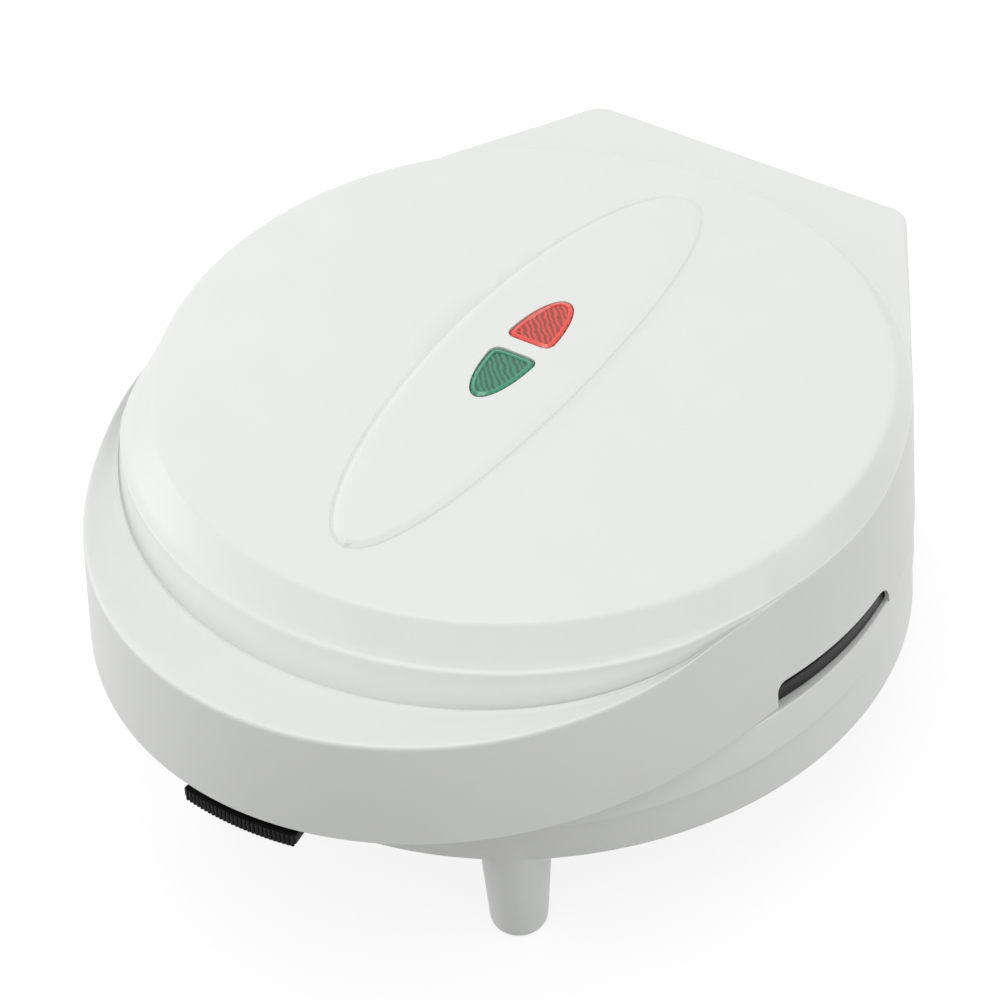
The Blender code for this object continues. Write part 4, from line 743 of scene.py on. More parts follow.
def knuckle_outline(up):
    """A half round about the axis with its neck, up for the lid's knuckle and down for a barrel."""
    h = group("hinge")
    turns = [math.pi * step / HOLE_STEPS for step in range(HOLE_STEPS + 1)]
    arc = [(h.axis_y + h.knuckle * math.cos(angle), h.axis_z - up * h.knuckle * math.sin(angle))
           for angle in turns]
    root = h.axis_z + (h.lid_neck if up > 0 else -h.base_neck)
    return arc + [(h.axis_y - h.knuckle, root), (h.axis_y + h.knuckle, root)]


def hinge_bore(name):
    h = group("hinge")
    reach = hinge_spans()[2] + h.barrel_length - h.blind_end
    return bar(name, h.pin + CLEARANCE, (-reach, h.axis_y, h.axis_z), (reach, h.axis_y, h.axis_z), 32)


POST_SINK = 0.0003
SCREW_TURNS = (0.0, math.radians(144), math.radians(216))


def screw_places():
    o, plates = group("outline"), group("plates")
    for angle in SCREW_TURNS:
        yield plan_point(o, angle, plates.screw_reach, 0.0)


# Points of a lens's inner side: shares of its half width across, and of its corner's rounding outward
LENS_CORNER_SHARES = ((-0.92, 0.45), (-0.8, 0.17), (-0.6, 0.03), (0.6, 0.03), (0.8, 0.17), (0.92, 0.45))


def lens_outline(side, outset=0.0, steps=36):
    """Half oval on one side of the disc's centre, its corners softened."""
    o, lens = group("outline"), group("lenses")
    half, length = lens.half_width + outset, lens.length + 2 * outset
    start = o.disc_y + side * (lens.spacing / 2 - outset)
    soft = lens.corner + outset
    corner = math.asin(soft / length)
    points = []
    for step in range(steps + 1):
        angle = blend(corner, math.pi - corner, step / steps)
        points.append((half * math.cos(angle), start + side * length * math.sin(angle)))
    return points + [(half * across, start + side * soft * out) for across, out in LENS_CORNER_SHARES]


class WAFFLE_OT_lid(bpy.types.Operator):
    """Mould the lid: dome, band, cove, crest and shelf, with its hollow, panel and hinge"""
    bl_idname = "waffle.lid"
    bl_label = "Lid moulding"

    def execute(self, context):
        o, lid, h, latch = (group(name) for name in ("outline", "lid", "hinge", "latch"))
        shell = section_loft("lid_skin", o, lid_section, FINE, dome_height(0.0))
        cut(shell, oval_groove())
        join(shell, oval_panel())
        join(shell, gate_mark())
        cut(shell, lid_hollow())
        below = lid.edge_z - OVERRUN
        roof = lid.rim_z - lid.pocket_drop
        cut(shell, crescent("finger_pocket", o, lambda a: o.side_radius,
                            lambda a: lid_reach(o, a, o.lid_draft + lid.wall), lid.pocket_turn, 0.0,
                            below, roof))
        cut(shell, crescent("hinge_room", o, lambda a: o.side_radius,
                            lambda a: box_reach(o, a, lid.wall + o.lid_draft), lid.room_turn,
                            math.pi, below, lid.rim_z - lid.deck_drop - lid.wall))
        cut(shell, box("hinge_cut", (-o.side_radius, h.axis_y - h.cut_lead, below),
                       (o.side_radius, o.disc_y + o.rear_reach + OVERRUN, h.axis_z + h.cut_height)))
        for side in (1, -1):
            middle = side * (hinge_spans()[1] + h.knuckle_length / 2)
            join(shell, across_slab("lid_knuckle", knuckle_outline(1), h.knuckle_length / 2, middle))
            inner, outer = latch.half_width + CLEARANCE, latch.half_width + latch.ear_reach
            low, high = sorted((side * inner, side * outer))
            join(shell, box("latch_ear",
                            (low, latch.axis_y - latch.ear_half, latch.axis_z - latch.ear_half),
                            (high, latch.axis_y + latch.ear_half, roof + lid.wall / 2)))
            cut(shell, side_slot(side))
            self.lamp_fittings(shell, side)
        self.screw_posts(shell)
        cut(shell, hinge_bore("lid_bore"))
        ear = latch.half_width + latch.ear_reach + OVERRUN
        cut(shell, bar("latch_bore", latch.pin + CLEARANCE, (-ear, latch.axis_y, latch.axis_z),
                       (ear, latch.axis_y, latch.axis_z), HOLE_STEPS))
        wall = o.disc_y + o.side_radius - lid.wall
        way = group("plates").upper_z + lid.wire_rise
        cut(shell, bar("wire_hole", lid.wire_hole, (lid.wire_x, wall - lid.wall, way),
                       (lid.wire_x, wall + 2 * lid.wall, way), HOLE_STEPS))
        soften(settle(shell))
        finish_piece(shell, "lid_moulding", white_plastic(), "lid", "white_plastic", "lid_shell")
        return {"FINISHED"}

    def lamp_fittings(self, shell, side):
        """A boss for the lamp carrier's screw and the window of a lens, on one side of the centre."""
        o, lid, lens = (group(name) for name in ("outline", "lid", "lenses"))
        spot = o.disc_y + side * lens.boss_reach
        carrier = dome_height(0.0) - lens.carrier_drop
        roof = dome_height(lens.boss_reach)
        join(shell, bar("carrier_boss", lens.boss, (0.0, spot, carrier + CLEARANCE),
                        (0.0, spot, roof - lid.wall / 2)))
        cut(shell, bar("boss_hole", lens.boss_hole, (0.0, spot, carrier - OVERRUN),
                       (0.0, spot, roof - lid.wall), HOLE_STEPS))
        cut(shell, slab("lens_window", lens_outline(side, lens.window_gap), lid.rim_z,
                        lid.rim_z + lid.dome_rise + OVERRUN))

    def screw_posts(self, shell):
        """Posts under the dome that take the upper plate's screws."""
        lid, plates = group("lid"), group("plates")
        seat = plates.upper_z + plates.flange + plates.post_gap
        for place in screw_places():
            join(shell, bar("lid_post", plates.post, (*place.xy, seat), (*place.xy, lid.rim_z - POST_SINK)))
        for place in screw_places():
            cut(shell, bar("post_hole", plates.screw_hole, (*place.xy, seat - OVERRUN),
                           (*place.xy, seat + plates.thread_depth), HOLE_STEPS))


# Base

# Roundings of the base's section, and how far its first and last rings stand in
TOP_SOFT = (0.0005, 0.0005, 4)
CREASE_SOFT = (0.0009, 0.0004, 5)
UNDER_CREASE_SOFT = (0.0004, 0.0009, 4)
BOWL_SOFT = (0.0018, 0.0018, 7)
TOP_RING = 0.002
BOTTOM_RING = 0.004
HOLLOW_DROP = 0.0022


def base_section(angle):
    """The base's outside from its upper edge to its underside."""
    o, base = group("outline"), group("base")
    crease = base.top_z - base.crease_drop
    foot = base_reach(o, angle, base.bowl_bottom)
    bowl = base_reach(o, angle, base.bowl_top, base.crease_step)
    corners = [(base_reach(o, angle, base.top_bulge, base.top_inset + TOP_RING), base.top_z, *SHARP),
               (base_reach(o, angle, base.top_bulge, base.top_inset), base.top_z, *TOP_SOFT),
               (base_reach(o, angle, base.crease_bulge), crease, *CREASE_SOFT),
               (bowl, crease - base.crease_step, *UNDER_CREASE_SOFT),
               (blend(bowl, foot, 0.5), blend(crease, base.under_z, 0.5), *SHARP),
               (foot, base.under_z, *BOWL_SOFT),
               (base_reach(o, angle, base.bowl_bottom, BOTTOM_RING), base.under_z, *SHARP)]
    return rounded(corners)


def base_hollow(angle):
    """The base's inside, a wall's thickness within its outside."""
    o, base, lid = group("outline"), group("base"), group("lid")
    inset = lid.wall + base.crease_step
    return [Vector((base_reach(o, angle, base.top_bulge, inset), base.top_z - HOLLOW_DROP)),
            Vector((base_reach(o, angle, base.bowl_top, inset), base.top_z - base.crease_drop)),
            Vector((base_reach(o, angle, base.bowl_bottom, inset), base.under_z + lid.wall))]


LEG_DRAFT = 0.0002


def leg(x, y):
    """Tapered leg with a rounded tip and a small flat to stand on."""
    base = group("base")
    root = base.under_z + base.leg_root
    corners = [(0.0, root, *SHARP), (base.leg_top, root, *SHARP),
               (base.leg_top, base.under_z, *SHARP),
               (base.leg_tip - LEG_DRAFT, 0.0, base.leg_round, base.leg_round, 12), (0.0, 0.0, *SHARP)]
    return turned("leg", rounded(corners), (x, y), 48)


def leg_places():
    o, base = group("outline"), group("base")
    front = plan_point(o, base.front_leg_turn, base.front_leg_reach, 0.0)
    for side in (1, -1):
        yield side * front.x, front.y
        yield side * base.rear_leg_x, o.disc_y + base.rear_leg_back


class WAFFLE_OT_base(bpy.types.Operator):
    """Mould the base: strip, crease and bowl, with its legs, posts, catch and hinge barrels"""
    bl_idname = "waffle.base"
    bl_label = "Base moulding"

    def execute(self, context):
        o, lid, base, h, latch = (group(name) for name in ("outline", "lid", "base", "hinge", "latch"))
        shell = section_loft("base_skin", o, base_section, FINE)
        cut(shell, section_loft("base_hollow", o, base_hollow, EVEN))
        cut(shell, bar("base_mouth", o.side_radius - 2 * lid.wall - lid.seat_width,
                       (0.0, o.disc_y, base.top_z - base.mouth_depth),
                       (0.0, o.disc_y, base.top_z + OVERRUN), BODY_STEPS))
        for x, y in leg_places():
            join(shell, leg(x, y))
        self.screw_posts(shell)
        hook = latch.axis_z - latch.length + latch.hook_height + CLEARANCE
        join(shell, box("latch_catch",
                        (-base.catch_half, latch.axis_y + latch.hook_reach + CLEARANCE, hook),
                        (base.catch_half, o.disc_y - o.side_radius - base.top_bulge / 2,
                         hook + base.catch_height)))
        inner, knuckle, outer = hinge_spans()
        rear = o.disc_y + o.rear_reach + OVERRUN
        front = h.axis_y - h.knuckle - h.slot_gap
        for side in (1, -1):
            for start in (inner, outer):
                join(shell, across_slab("hinge_barrel", knuckle_outline(-1), h.barrel_length / 2,
                                        side * (start + h.barrel_length / 2)))
            low, high = sorted((side * (knuckle - CLEARANCE),
                                side * (knuckle + h.knuckle_length + CLEARANCE)))
            cut(shell, box("knuckle_slot", (low, front, h.axis_z - h.slot_depth),
                           (high, rear, h.axis_z + OVERRUN)))
        cut(shell, box("lead_notch", (-h.notch, front + lid.wall, h.axis_z - h.notch_depth),
                       (h.notch, rear, h.axis_z + OVERRUN)))
        cut(shell, hinge_bore("base_bore"))
        cut(shell, bar("inlet_hole", base.inlet, (base.inlet_x, rear - base.inlet_depth, base.inlet_z),
                       (base.inlet_x, rear, base.inlet_z), 32))
        soften(settle(shell))
        finish_piece(shell, "base_moulding", white_plastic(), "base", "white_plastic", "base_shell")
        return {"FINISHED"}

    def screw_posts(self, shell):
        """Posts on the floor that take the lower plate's screws."""
        lid, base, plates = (group(name) for name in ("lid", "base", "plates"))
        seat = plates.lower_z - plates.flange - plates.post_gap
        for place in screw_places():
            join(shell, bar("base_post", plates.post, (*place.xy, base.under_z + lid.wall / 2),
                            (*place.xy, seat)))
        for place in screw_places():
            cut(shell, bar("post_hole", plates.screw_hole, (*place.xy, seat + OVERRUN),
                           (*place.xy, seat - plates.thread_depth), HOLE_STEPS))


# Nodes

def set_inputs(node, values):
    for name, value in values.items():
        node.inputs[name].default_value = value


def add(tree, kind, inputs=None, **settings):
    """A new node with its settings, and with the values of its inputs that no link feeds."""
    node = tree.nodes.new(kind)
    for name, value in settings.items():
        setattr(node, name, value)
    set_inputs(node, inputs or {})
    return node


def wire(tree, *links):
    """Links nodes; each link is (source, output, target, input), sockets by name or place."""
    for source, output, target, entry in links:
        tree.links.new(source.outputs[output], target.inputs[entry])


def new_tree(name, **sockets):
    """A tree with a geometry input and output, and named inputs for its sizes and its material."""
    tree = bpy.data.node_groups.new(name, "GeometryNodeTree")
    for way in ("OUTPUT", "INPUT"):
        tree.interface.new_socket("Geometry", in_out=way, socket_type="NodeSocketGeometry")
    for label, kind in (*sockets.items(), ("Material", "Material")):
        tree.interface.new_socket(label, in_out="INPUT", socket_type="NodeSocket" + kind)
    return tree, add(tree, "NodeGroupInput")


def end_tree(tree, start, last, output="Geometry"):
    """Real geometry and its material at the end of a tree."""
    real = add(tree, "GeometryNodeRealizeInstances")
    paint = add(tree, "GeometryNodeSetMaterial")
    stop = add(tree, "NodeGroupOutput")
    wire(tree, (last, output, real, "Geometry"), (real, "Geometry", paint, "Geometry"),
         (start, "Material", paint, "Material"), (paint, "Geometry", stop, "Geometry"))
    return tree


def run_tree(item, tree, values):
    """Runs a tree on an object, with inputs given by name, and keeps the result as its mesh."""
    step = item.modifiers.new(tree.name, "NODES")
    step.node_group = tree
    for socket in tree.interface.items_tree:
        if socket.in_out == "INPUT" and socket.name in values:
            step[socket.identifier] = values[socket.name]
    return settle(item)


def turned_copy():
    """One of a number of even turns of a mesh about the upright axis."""
    tree, start = new_tree("turned_copy", Index="Int", Count="Int")
    part = add(tree, "ShaderNodeMath", operation="DIVIDE")
    angle = add(tree, "ShaderNodeMath", {1: 2 * math.pi}, operation="MULTIPLY")
    spin = add(tree, "ShaderNodeCombineXYZ")
    move = add(tree, "GeometryNodeTransform")
    wire(tree, (start, "Index", part, 0), (start, "Count", part, 1), (part, 0, angle, 0),
         (angle, 0, spin, "Z"), (start, "Geometry", move, "Geometry"), (spin, "Vector", move, "Rotation"))
    return end_tree(tree, start, move)


def ribs_along_path():
    """Upright round ribs set evenly along a path of edges, with the path itself left out."""
    tree, start = new_tree("ribs_along_path", Count="Int", Depth="Float", Width="Float", Height="Float")
    path = add(tree, "GeometryNodeMeshToCurve")
    spaced = add(tree, "GeometryNodeResampleCurve")
    rod = add(tree, "GeometryNodeMeshCylinder", {"Vertices": 16, "Radius": 1.0, "Depth": 1.0})
    tangent = add(tree, "GeometryNodeInputTangent")
    aim = add(tree, "FunctionNodeAlignRotationToVector", axis="X", pivot_axis="Z")
    stretch = add(tree, "ShaderNodeCombineXYZ")
    put = add(tree, "GeometryNodeInstanceOnPoints")
    wire(tree, (start, "Geometry", path, "Mesh"), (path, "Curve", spaced, "Curve"),
         (start, "Count", spaced, "Count"), (tangent, "Tangent", aim, "Vector"),
         (start, "Width", stretch, "X"), (start, "Depth", stretch, "Y"), (start, "Height", stretch, "Z"),
         (spaced, "Curve", put, "Points"), (rod, "Mesh", put, "Instance"),
         (aim, "Rotation", put, "Rotation"), (stretch, "Vector", put, "Scale"))
    return end_tree(tree, start, put, "Instances")


def wire_along_path():
    """A round wire along a path of edges, its ends capped."""
    tree, start = new_tree("wire_along_path", Radius="Float", Sides="Int")
    path = add(tree, "GeometryNodeMeshToCurve")
    ring = add(tree, "GeometryNodeCurvePrimitiveCircle")
    skin = add(tree, "GeometryNodeCurveToMesh", {"Fill Caps": True})
    wire(tree, (start, "Geometry", path, "Mesh"), (start, "Radius", ring, "Radius"),
         (start, "Sides", ring, "Resolution"), (path, "Curve", skin, "Curve"),
         (ring, "Curve", skin, "Profile Curve"))
    return end_tree(tree, start, skin, "Mesh")


def path_object(name, points):
    mesh = bpy.data.meshes.new(name)
    mesh.from_pydata([tuple(point) for point in points],
                     [(index, index + 1) for index in range(len(points) - 1)], [])
    return new_object(name, mesh)


# Cooking plates

def evenly_spaced(points, count):
    """As many points as asked at equal distances along a line, with both its ends."""
    lengths = [0.0]
    for before, after in zip(points, points[1:]):
        lengths.append(lengths[-1] + (after - before).length)
    spaced, spot = [], 0
    for step in range(count):
        along = lengths[-1] * step / (count - 1)
        while spot < len(points) - 2 and lengths[spot + 1] < along:
            spot += 1
        part = (along - lengths[spot]) / (lengths[spot + 1] - lengths[spot])
        spaced.append(points[spot].lerp(points[spot + 1], part))
    return spaced


# The plain heart curve's height, how far its tip stands under its origin, and its steps a side
CURVE_HEIGHT = 28.97
CURVE_TIP = 17
CURVE_STEPS = 180


def heart_ring(outset, height, steps=80):
    """Heart grown by an outset, its tip near the plate's centre and its lobes outward."""
    plates = group("plates")
    unit = plates.heart_length / CURVE_HEIGHT
    half = []
    for step in range(CURVE_STEPS + 1):
        angle = math.pi * step / CURVE_STEPS
        half.append(Vector((16 * math.sin(angle) ** 3 * unit * plates.heart_width,
                            (13 * math.cos(angle) - 5 * math.cos(2 * angle) - 2 * math.cos(3 * angle)
                             - math.cos(4 * angle)) * unit + plates.tip_reach + CURVE_TIP * unit)))
    half = evenly_spaced(half, steps // 2 + 1)
    points = half + [Vector((-point.x, point.y)) for point in reversed(half[1:-1])]
    middle = Vector((0.0, plates.tip_reach + plates.heart_length / 2))
    grow = 1 + outset / (plates.heart_length / 2)
    return [Vector((*(middle + (point - middle) * grow), height)) for point in points]


# A cavity from its rounded mouth down: (outset, height) points of the mouth, the sloping wall's
# share and foot, and (inset, rise) points of the floor's rounded edge
MOUTH = ((0.0012, 0.002), (0.0012, 0.0), (0.0006, -0.00015), (0.0002, -0.0005), (0.0, -0.0011))
SLOPE_SHARE = 0.12
FOOT_SHARE = 0.8
FOOT_RISE = 0.0016
FLOOR_EDGE = ((0.0, 0.0007), (0.0006, 0.0002), (0.0016, 0.0))
# A waffle rib's widening at its foot and at the floor, and the rounding of its top
RIB_FOOT = 0.0004
RIB_FLOOR = 0.0003
RIB_ROUND = 0.0006
RIB_SHOULDER = 0.0005
RIB_SHIFT_SHARE = 0.25


def heart_cavity():
    """The cavity's cutter: rounded mouth, sloping wall and rounded floor, less its ribs."""
    plates = group("plates")
    floor = -plates.depth
    slope = SLOPE_SHARE * plates.heart_length / 2
    shape = [*MOUTH, (-slope * FOOT_SHARE, floor + FOOT_RISE)]
    shape += [(-slope - inset, floor + rise) for inset, rise in FLOOR_EDGE]
    cavity = loft("heart_cavity", [heart_ring(outset, height) for outset, height in shape])
    middle = plates.tip_reach + plates.heart_length / 2
    half, reach = plates.rib_width / 2, plates.heart_length
    top = floor + plates.rib_height
    flank = [(half + RIB_FOOT, floor - OVERRUN), (half + RIB_FLOOR, floor), (half, top - RIB_SHOULDER),
             (half - RIB_ROUND, top)]
    section = [(-across, z) for across, z in flank] + flank[::-1]
    for index in (-1, 0, 1):
        x = index * plates.rib_pitch
        y = middle + (index + RIB_SHIFT_SHARE) * plates.rib_pitch
        cut(cavity, loft("long_rib", [[Vector((x + across, end, z)) for across, z in section]
                                      for end in (middle - reach, middle + reach)]))
        cut(cavity, loft("cross_rib", [[Vector((end, y + across, z)) for across, z in section]
                                       for end in (-reach, reach)]))
    return settle(cavity)


# Rounding of the casting's edge, and the heart's back: its wall, draft and rounded foot
PLATE_STEPS = 200
PLATE_EDGE = 0.0006
PLATE_EDGE_SHARE = 0.3
BACK_WALL = 0.0026
BACK_STEP = 0.0004
BACK_DRAFT = 0.0002
BACK_ROUND = 0.0012
BACK_INSET = 0.0013
CASTING_ANGLE = 12


def cooking_plate(tree):
    """The casting about its own centre: face at zero height, hearts sunk below it."""
    plates = group("plates")
    back = -plates.flange
    radius, inner = plates.radius, plates.radius - PLATE_EDGE
    plate = turned("casting", [
        (0.0, 0.0), (inner, 0.0), (radius - PLATE_EDGE * PLATE_EDGE_SHARE, -PLATE_EDGE * PLATE_EDGE_SHARE),
        (radius, -PLATE_EDGE), (radius, back + PLATE_EDGE), (inner, back), (0.0, back)],
        (0.0, 0.0), PLATE_STEPS)
    depth = plates.depth + plates.floor
    backs = loft("heart_backs", [heart_ring(outset, height) for outset, height in
                                 ((BACK_WALL, back / 2), (BACK_WALL, back - BACK_STEP),
                                  (BACK_DRAFT, BACK_ROUND - depth), (-BACK_INSET, -depth))])
    for first, operation in ((backs, join), (heart_cavity(), cut)):
        for index in range(plates.hearts):
            tool = new_object("heart", first.data.copy())
            run_tree(tool, tree, {"Index": index, "Count": plates.hearts,
                                  "Material": non_stick_coating()})
            settle(operation(plate, tool))
        bpy.data.objects.remove(first)
    hole, head, under = plates.screw_hole, plates.head_hole, -plates.head_depth
    recess = [(0.0, OVERRUN), (head, OVERRUN), (head, under), (hole, under), (hole, back - OVERRUN),
              (0.0, back - OVERRUN)]
    for place in screw_places():
        cut(plate, turned("plate_hole", recess, (place.x, place.y - group("outline").disc_y), 32))
    return soften(settle(plate), CASTING_ANGLE)


SKIRT_INSET = 0.0001
SKIRT_WALL = 0.0017
SKIRT_ROOM = 0.02


def plate_skirt():
    """The lower plate's thin upright skirt, which shows in the lid's side slots."""
    plates = group("plates")
    rim, root = plates.radius - SKIRT_INSET, -plates.flange / 2
    skirt = turned("plate_skirt", [(0.0, root), (rim, root), (rim, -plates.skirt), (0.0, -plates.skirt)],
                   (0.0, 0.0), PLATE_STEPS)
    cut(skirt, bar("skirt_room", plates.radius - SKIRT_WALL, (0.0, 0.0, -SKIRT_ROOM),
                   (0.0, 0.0, SKIRT_ROOM), BODY_STEPS))
    return settle(skirt)


class WAFFLE_OT_plates(bpy.types.Operator):
    """Cast both cooking plates with their heart cavities and waffle ribs"""
    bl_idname = "waffle.plates"
    bl_label = "Cooking plates"

    def execute(self, context):
        o, plates = group("outline"), group("plates")
        lower = cooking_plate(turned_copy())
        upper = new_object("upper", lower.data.copy())
        upper.data.transform(Matrix.Translation((0.0, o.disc_y, plates.upper_z))
                             @ Matrix.Rotation(math.pi, 4, "Y"))
        soften(settle(join(lower, plate_skirt())), CASTING_ANGLE)
        lower.data.transform(Matrix.Translation((0.0, o.disc_y, plates.lower_z)))
        coating = non_stick_coating()
        finish_piece(lower, "lower_casting", coating, "base", "non_stick_coating", "lower_plate")
        finish_piece(upper, "upper_casting", coating, "lid", "non_stick_coating", "upper_plate")
        return {"FINISHED"}


# Latch

def grip_ring(height, inset, taper, steps=34):
    """Outline of the lever's lip, its front following the lid's edge."""
    o, latch = group("outline"), group("latch")
    spread = math.asin((latch.half_width - taper) / (o.side_radius + o.lid_bulge))
    ring = [plan_point(o, -spread, o.disc_y - latch.axis_y, height)]
    for step in range(steps + 1):
        angle = spread * (2 * step / steps - 1)
        ring.append(plan_point(o, angle, lid_reach(o, angle, inset), height))
    return ring + [plan_point(o, spread, o.disc_y - latch.axis_y, height)]


COIL_STEPS = 32
# Bevels of the hook's tip, the plate's margin within the lip, and the lip's roundings: its upper
# bevel, and how far its lower edge is rounded, set back and tapered
TIP_BEVEL = 0.0005
TIP_ROUND = 0.0008
LEVER_MARGIN = 0.0025
LIP_BEVEL = 0.0003
LIP_CORNER = 0.0002
LIP_ROUND = 0.0004
LIP_INSETS = (0.0002, 0.0005)
LIP_TAPER_SHARE = 0.8
# The ribs end this far within the lip's sides and height, and are wider than deep
RIB_MARGIN = 0.001
RIB_ENDS = 0.0009
RIB_WIDTH_SHARE = 1.15
RIB_PATH_STEPS = 20


class WAFFLE_OT_latch(bpy.types.Operator):
    """Mould the latch lever with its ribbed lip and hook, and wind its spring"""
    bl_idname = "waffle.latch"
    bl_label = "Latch"

    def execute(self, context):
        latch = group("latch")
        y, z, half = latch.axis_y, latch.axis_z, latch.thickness / 2
        foot, tip = z - latch.length, y + latch.hook_reach
        hook = foot + latch.hook_height
        lever = across_slab("lever_plate", [
            (y - half, z), (y - half, foot), (tip - half, foot), (tip - TIP_BEVEL, foot + TIP_ROUND),
            (tip, foot + half), (tip, hook), (y + half, hook), (y + half, z)],
            latch.half_width - LEVER_MARGIN)
        hub = latch.half_width - CLEARANCE
        join(lever, bar("latch_hub", latch.hub, (-hub, y, z), (hub, y, z)))
        self.lip(lever)
        room = latch.hub + CLEARANCE
        cut(lever, box("spring_gap", (-latch.spring_room, y - room, z - room),
                       (latch.spring_room, y + room, z + room)))
        reach = latch.half_width + OVERRUN
        cut(lever, bar("lever_bore", latch.pin + CLEARANCE, (-reach, y, z), (reach, y, z), HOLE_STEPS))
        soften(settle(lever))
        finish_piece(lever, "ribbed_latch_lever", black_plastic(), "latch", "black_plastic",
                     "latch_lever")
        self.spring()
        return {"FINISHED"}

    def lip(self, lever):
        """The lip under the lid's front edge, with its upright ribs."""
        o, latch = group("outline"), group("latch")
        inset, taper = latch.grip_inset, latch.grip_taper
        top = latch.axis_z - latch.grip_top
        low = top - latch.grip_height
        join(lever, loft("grip_lip", [
            grip_ring(top, inset + LIP_BEVEL, LIP_CORNER), grip_ring(top - LIP_BEVEL, inset, 0.0),
            grip_ring(low + taper, inset, 0.0),
            grip_ring(low + LIP_ROUND, inset + LIP_INSETS[0], taper * LIP_TAPER_SHARE),
            grip_ring(low, inset + LIP_INSETS[1], taper)]))
        spread = math.asin((latch.half_width - RIB_MARGIN) / (o.side_radius + o.lid_bulge))
        height = latch.grip_height - RIB_ENDS
        angles = [spread * (step / RIB_PATH_STEPS - 1) for step in range(2 * RIB_PATH_STEPS + 1)]
        ribs = path_object("grip_ribs", [plan_point(o, angle, lid_reach(o, angle, inset), top - height / 2)
                                         for angle in angles])
        run_tree(ribs, ribs_along_path(), {
            "Count": latch.rib_count, "Depth": latch.rib_depth, "Width": latch.rib_depth * RIB_WIDTH_SHARE,
            "Height": height, "Material": black_plastic()})
        join(lever, ribs)

    def spring(self):
        """Torsion spring round the latch pin, one arm behind the lever and one under the roof."""
        latch, lid = group("latch"), group("lid")
        half = latch.spring_room - 4 * latch.spring_wire
        steps = COIL_STEPS * latch.spring_turns
        middle = Vector((0.0, latch.axis_y, latch.axis_z))
        coil = []
        for step in range(steps + 1):
            angle = 2 * math.pi * latch.spring_turns * step / steps
            coil.append(middle + Vector((half * (2 * step / steps - 1),
                                         latch.spring_radius * math.cos(angle),
                                         latch.spring_radius * math.sin(angle))))
        seat = CLEARANCE + latch.spring_wire
        lever_arm = middle + Vector((-half, latch.thickness / 2 + seat, -latch.spring_arm))
        roof_arm = middle + Vector((half, latch.spring_radius + latch.spring_wire,
                                    lid.rim_z - lid.pocket_drop - latch.axis_z - seat))
        item = path_object("spring_path", [lever_arm, *coil, roof_arm])
        run_tree(item, wire_along_path(), {"Radius": latch.spring_wire, "Sides": 12,
                                           "Material": brushed_steel()})
        finish_piece(soften(item), "wound_latch_spring", brushed_steel(), "lid", "steel",
                     "latch_spring")


# Lenses

def lens_top():
    lid = group("lid")
    return lid.rim_z + lid.dome_rise + group("lenses").crown


# The lens's upper side: how far in its facets start and how wide their step is, the dip and rounding
# of the inner line of its raised edge, which is painted brighter as a highlight, and (inset, drop) points
# of its outer edge
FACET_REACH = 0.0012
FACET_STEP = 0.0002
EDGE_DIP = 0.00005
EDGE_POINTS = ((0.0004, 0.00035), (0.0, 0.0008))


class WAFFLE_OT_lenses(bpy.types.Operator):
    """Mould the red and the green lens, each with a raised bevel painted brighter as a highlight, and
    facets inside it painted darker as shade
    """
    bl_idname = "waffle.lenses"
    bl_label = "Lamp lenses"

    def execute(self, context):
        lens, lid = group("lenses"), group("lid")
        roof = dome_height(lens.spacing / 2 + lens.length) - lid.wall - CLEARANCE
        top = lens_top()
        edge = -lens.bevel
        levels = [(edge - FACET_REACH, top - lens.facet), (edge - FACET_STEP, top - lens.facet),
                  (edge, top - EDGE_DIP), (edge + FACET_STEP, top)]
        levels += [(-inset, top - drop) for inset, drop in EDGE_POINTS]
        levels += [(0.0, roof), (lens.flange, roof), (lens.flange, roof - lens.flange)]
        for name, side in (("red", 1), ("green", -1)):
            material = lens_with_painted_highlight_and_shade(name + "_lens", getattr(group("colours"), name))
            skin = loft("lens_skin", [[Vector((x, y, height)) for x, y in lens_outline(side, outset)]
                                      for outset, height in levels])
            finish_piece(soften(skin, 20), name + "_lens_cap", material, "lid", name + "_lens",
                         name + "_lens")
        return {"FINISHED"}


# Finishes: the range of a noise's values, where its tones start and end, the wandering of the
# roughness, and the cells per metre of the slow noise
NOISE_LOW = 0.3
NOISE_HIGH = 0.7
TONE_SPOTS = (0.35, 0.65)
ROUGHNESS_SWAY = 0.06
SLOW_CELLS = 60.0


def new_finish(name, base, roughness, metallic=0.0):
    made = bpy.data.materials.new(name)
    made.use_nodes = True
    shader = made.node_tree.nodes["Principled BSDF"]
    set_inputs(shader, {"Base Color": (*base, 1.0), "Roughness": roughness, "Metallic": metallic})
    return made, made.node_tree, shader


def finish_named(name):
    return bpy.data.materials.get("finish_" + name)


def toned(base, part):
    return tuple(min(1.0, value * part) for value in base)


def noise(tree, scale, detail=2.0, stretch=None):
    """Noise in the piece's own coordinates, with cells per metre, stretched along an axis if asked."""
    place = add(tree, "ShaderNodeTexCoord")
    grain = add(tree, "ShaderNodeTexNoise", {"Scale": scale, "Detail": detail})
    if stretch:
        shape = add(tree, "ShaderNodeMapping", {"Scale": stretch})
        wire(tree, (place, "Object", shape, "Vector"), (shape, "Vector", grain, "Vector"))
    else:
        wire(tree, (place, "Object", grain, "Vector"))
    return grain


def waves(tree, scale, distortion):
    """Slanting waves in the piece's own coordinates."""
    place = add(tree, "ShaderNodeTexCoord")
    bands = add(tree, "ShaderNodeTexWave", {"Scale": scale, "Distortion": distortion},
                wave_type="BANDS", bands_direction="DIAGONAL")
    wire(tree, (place, "Object", bands, "Vector"))
    return bands


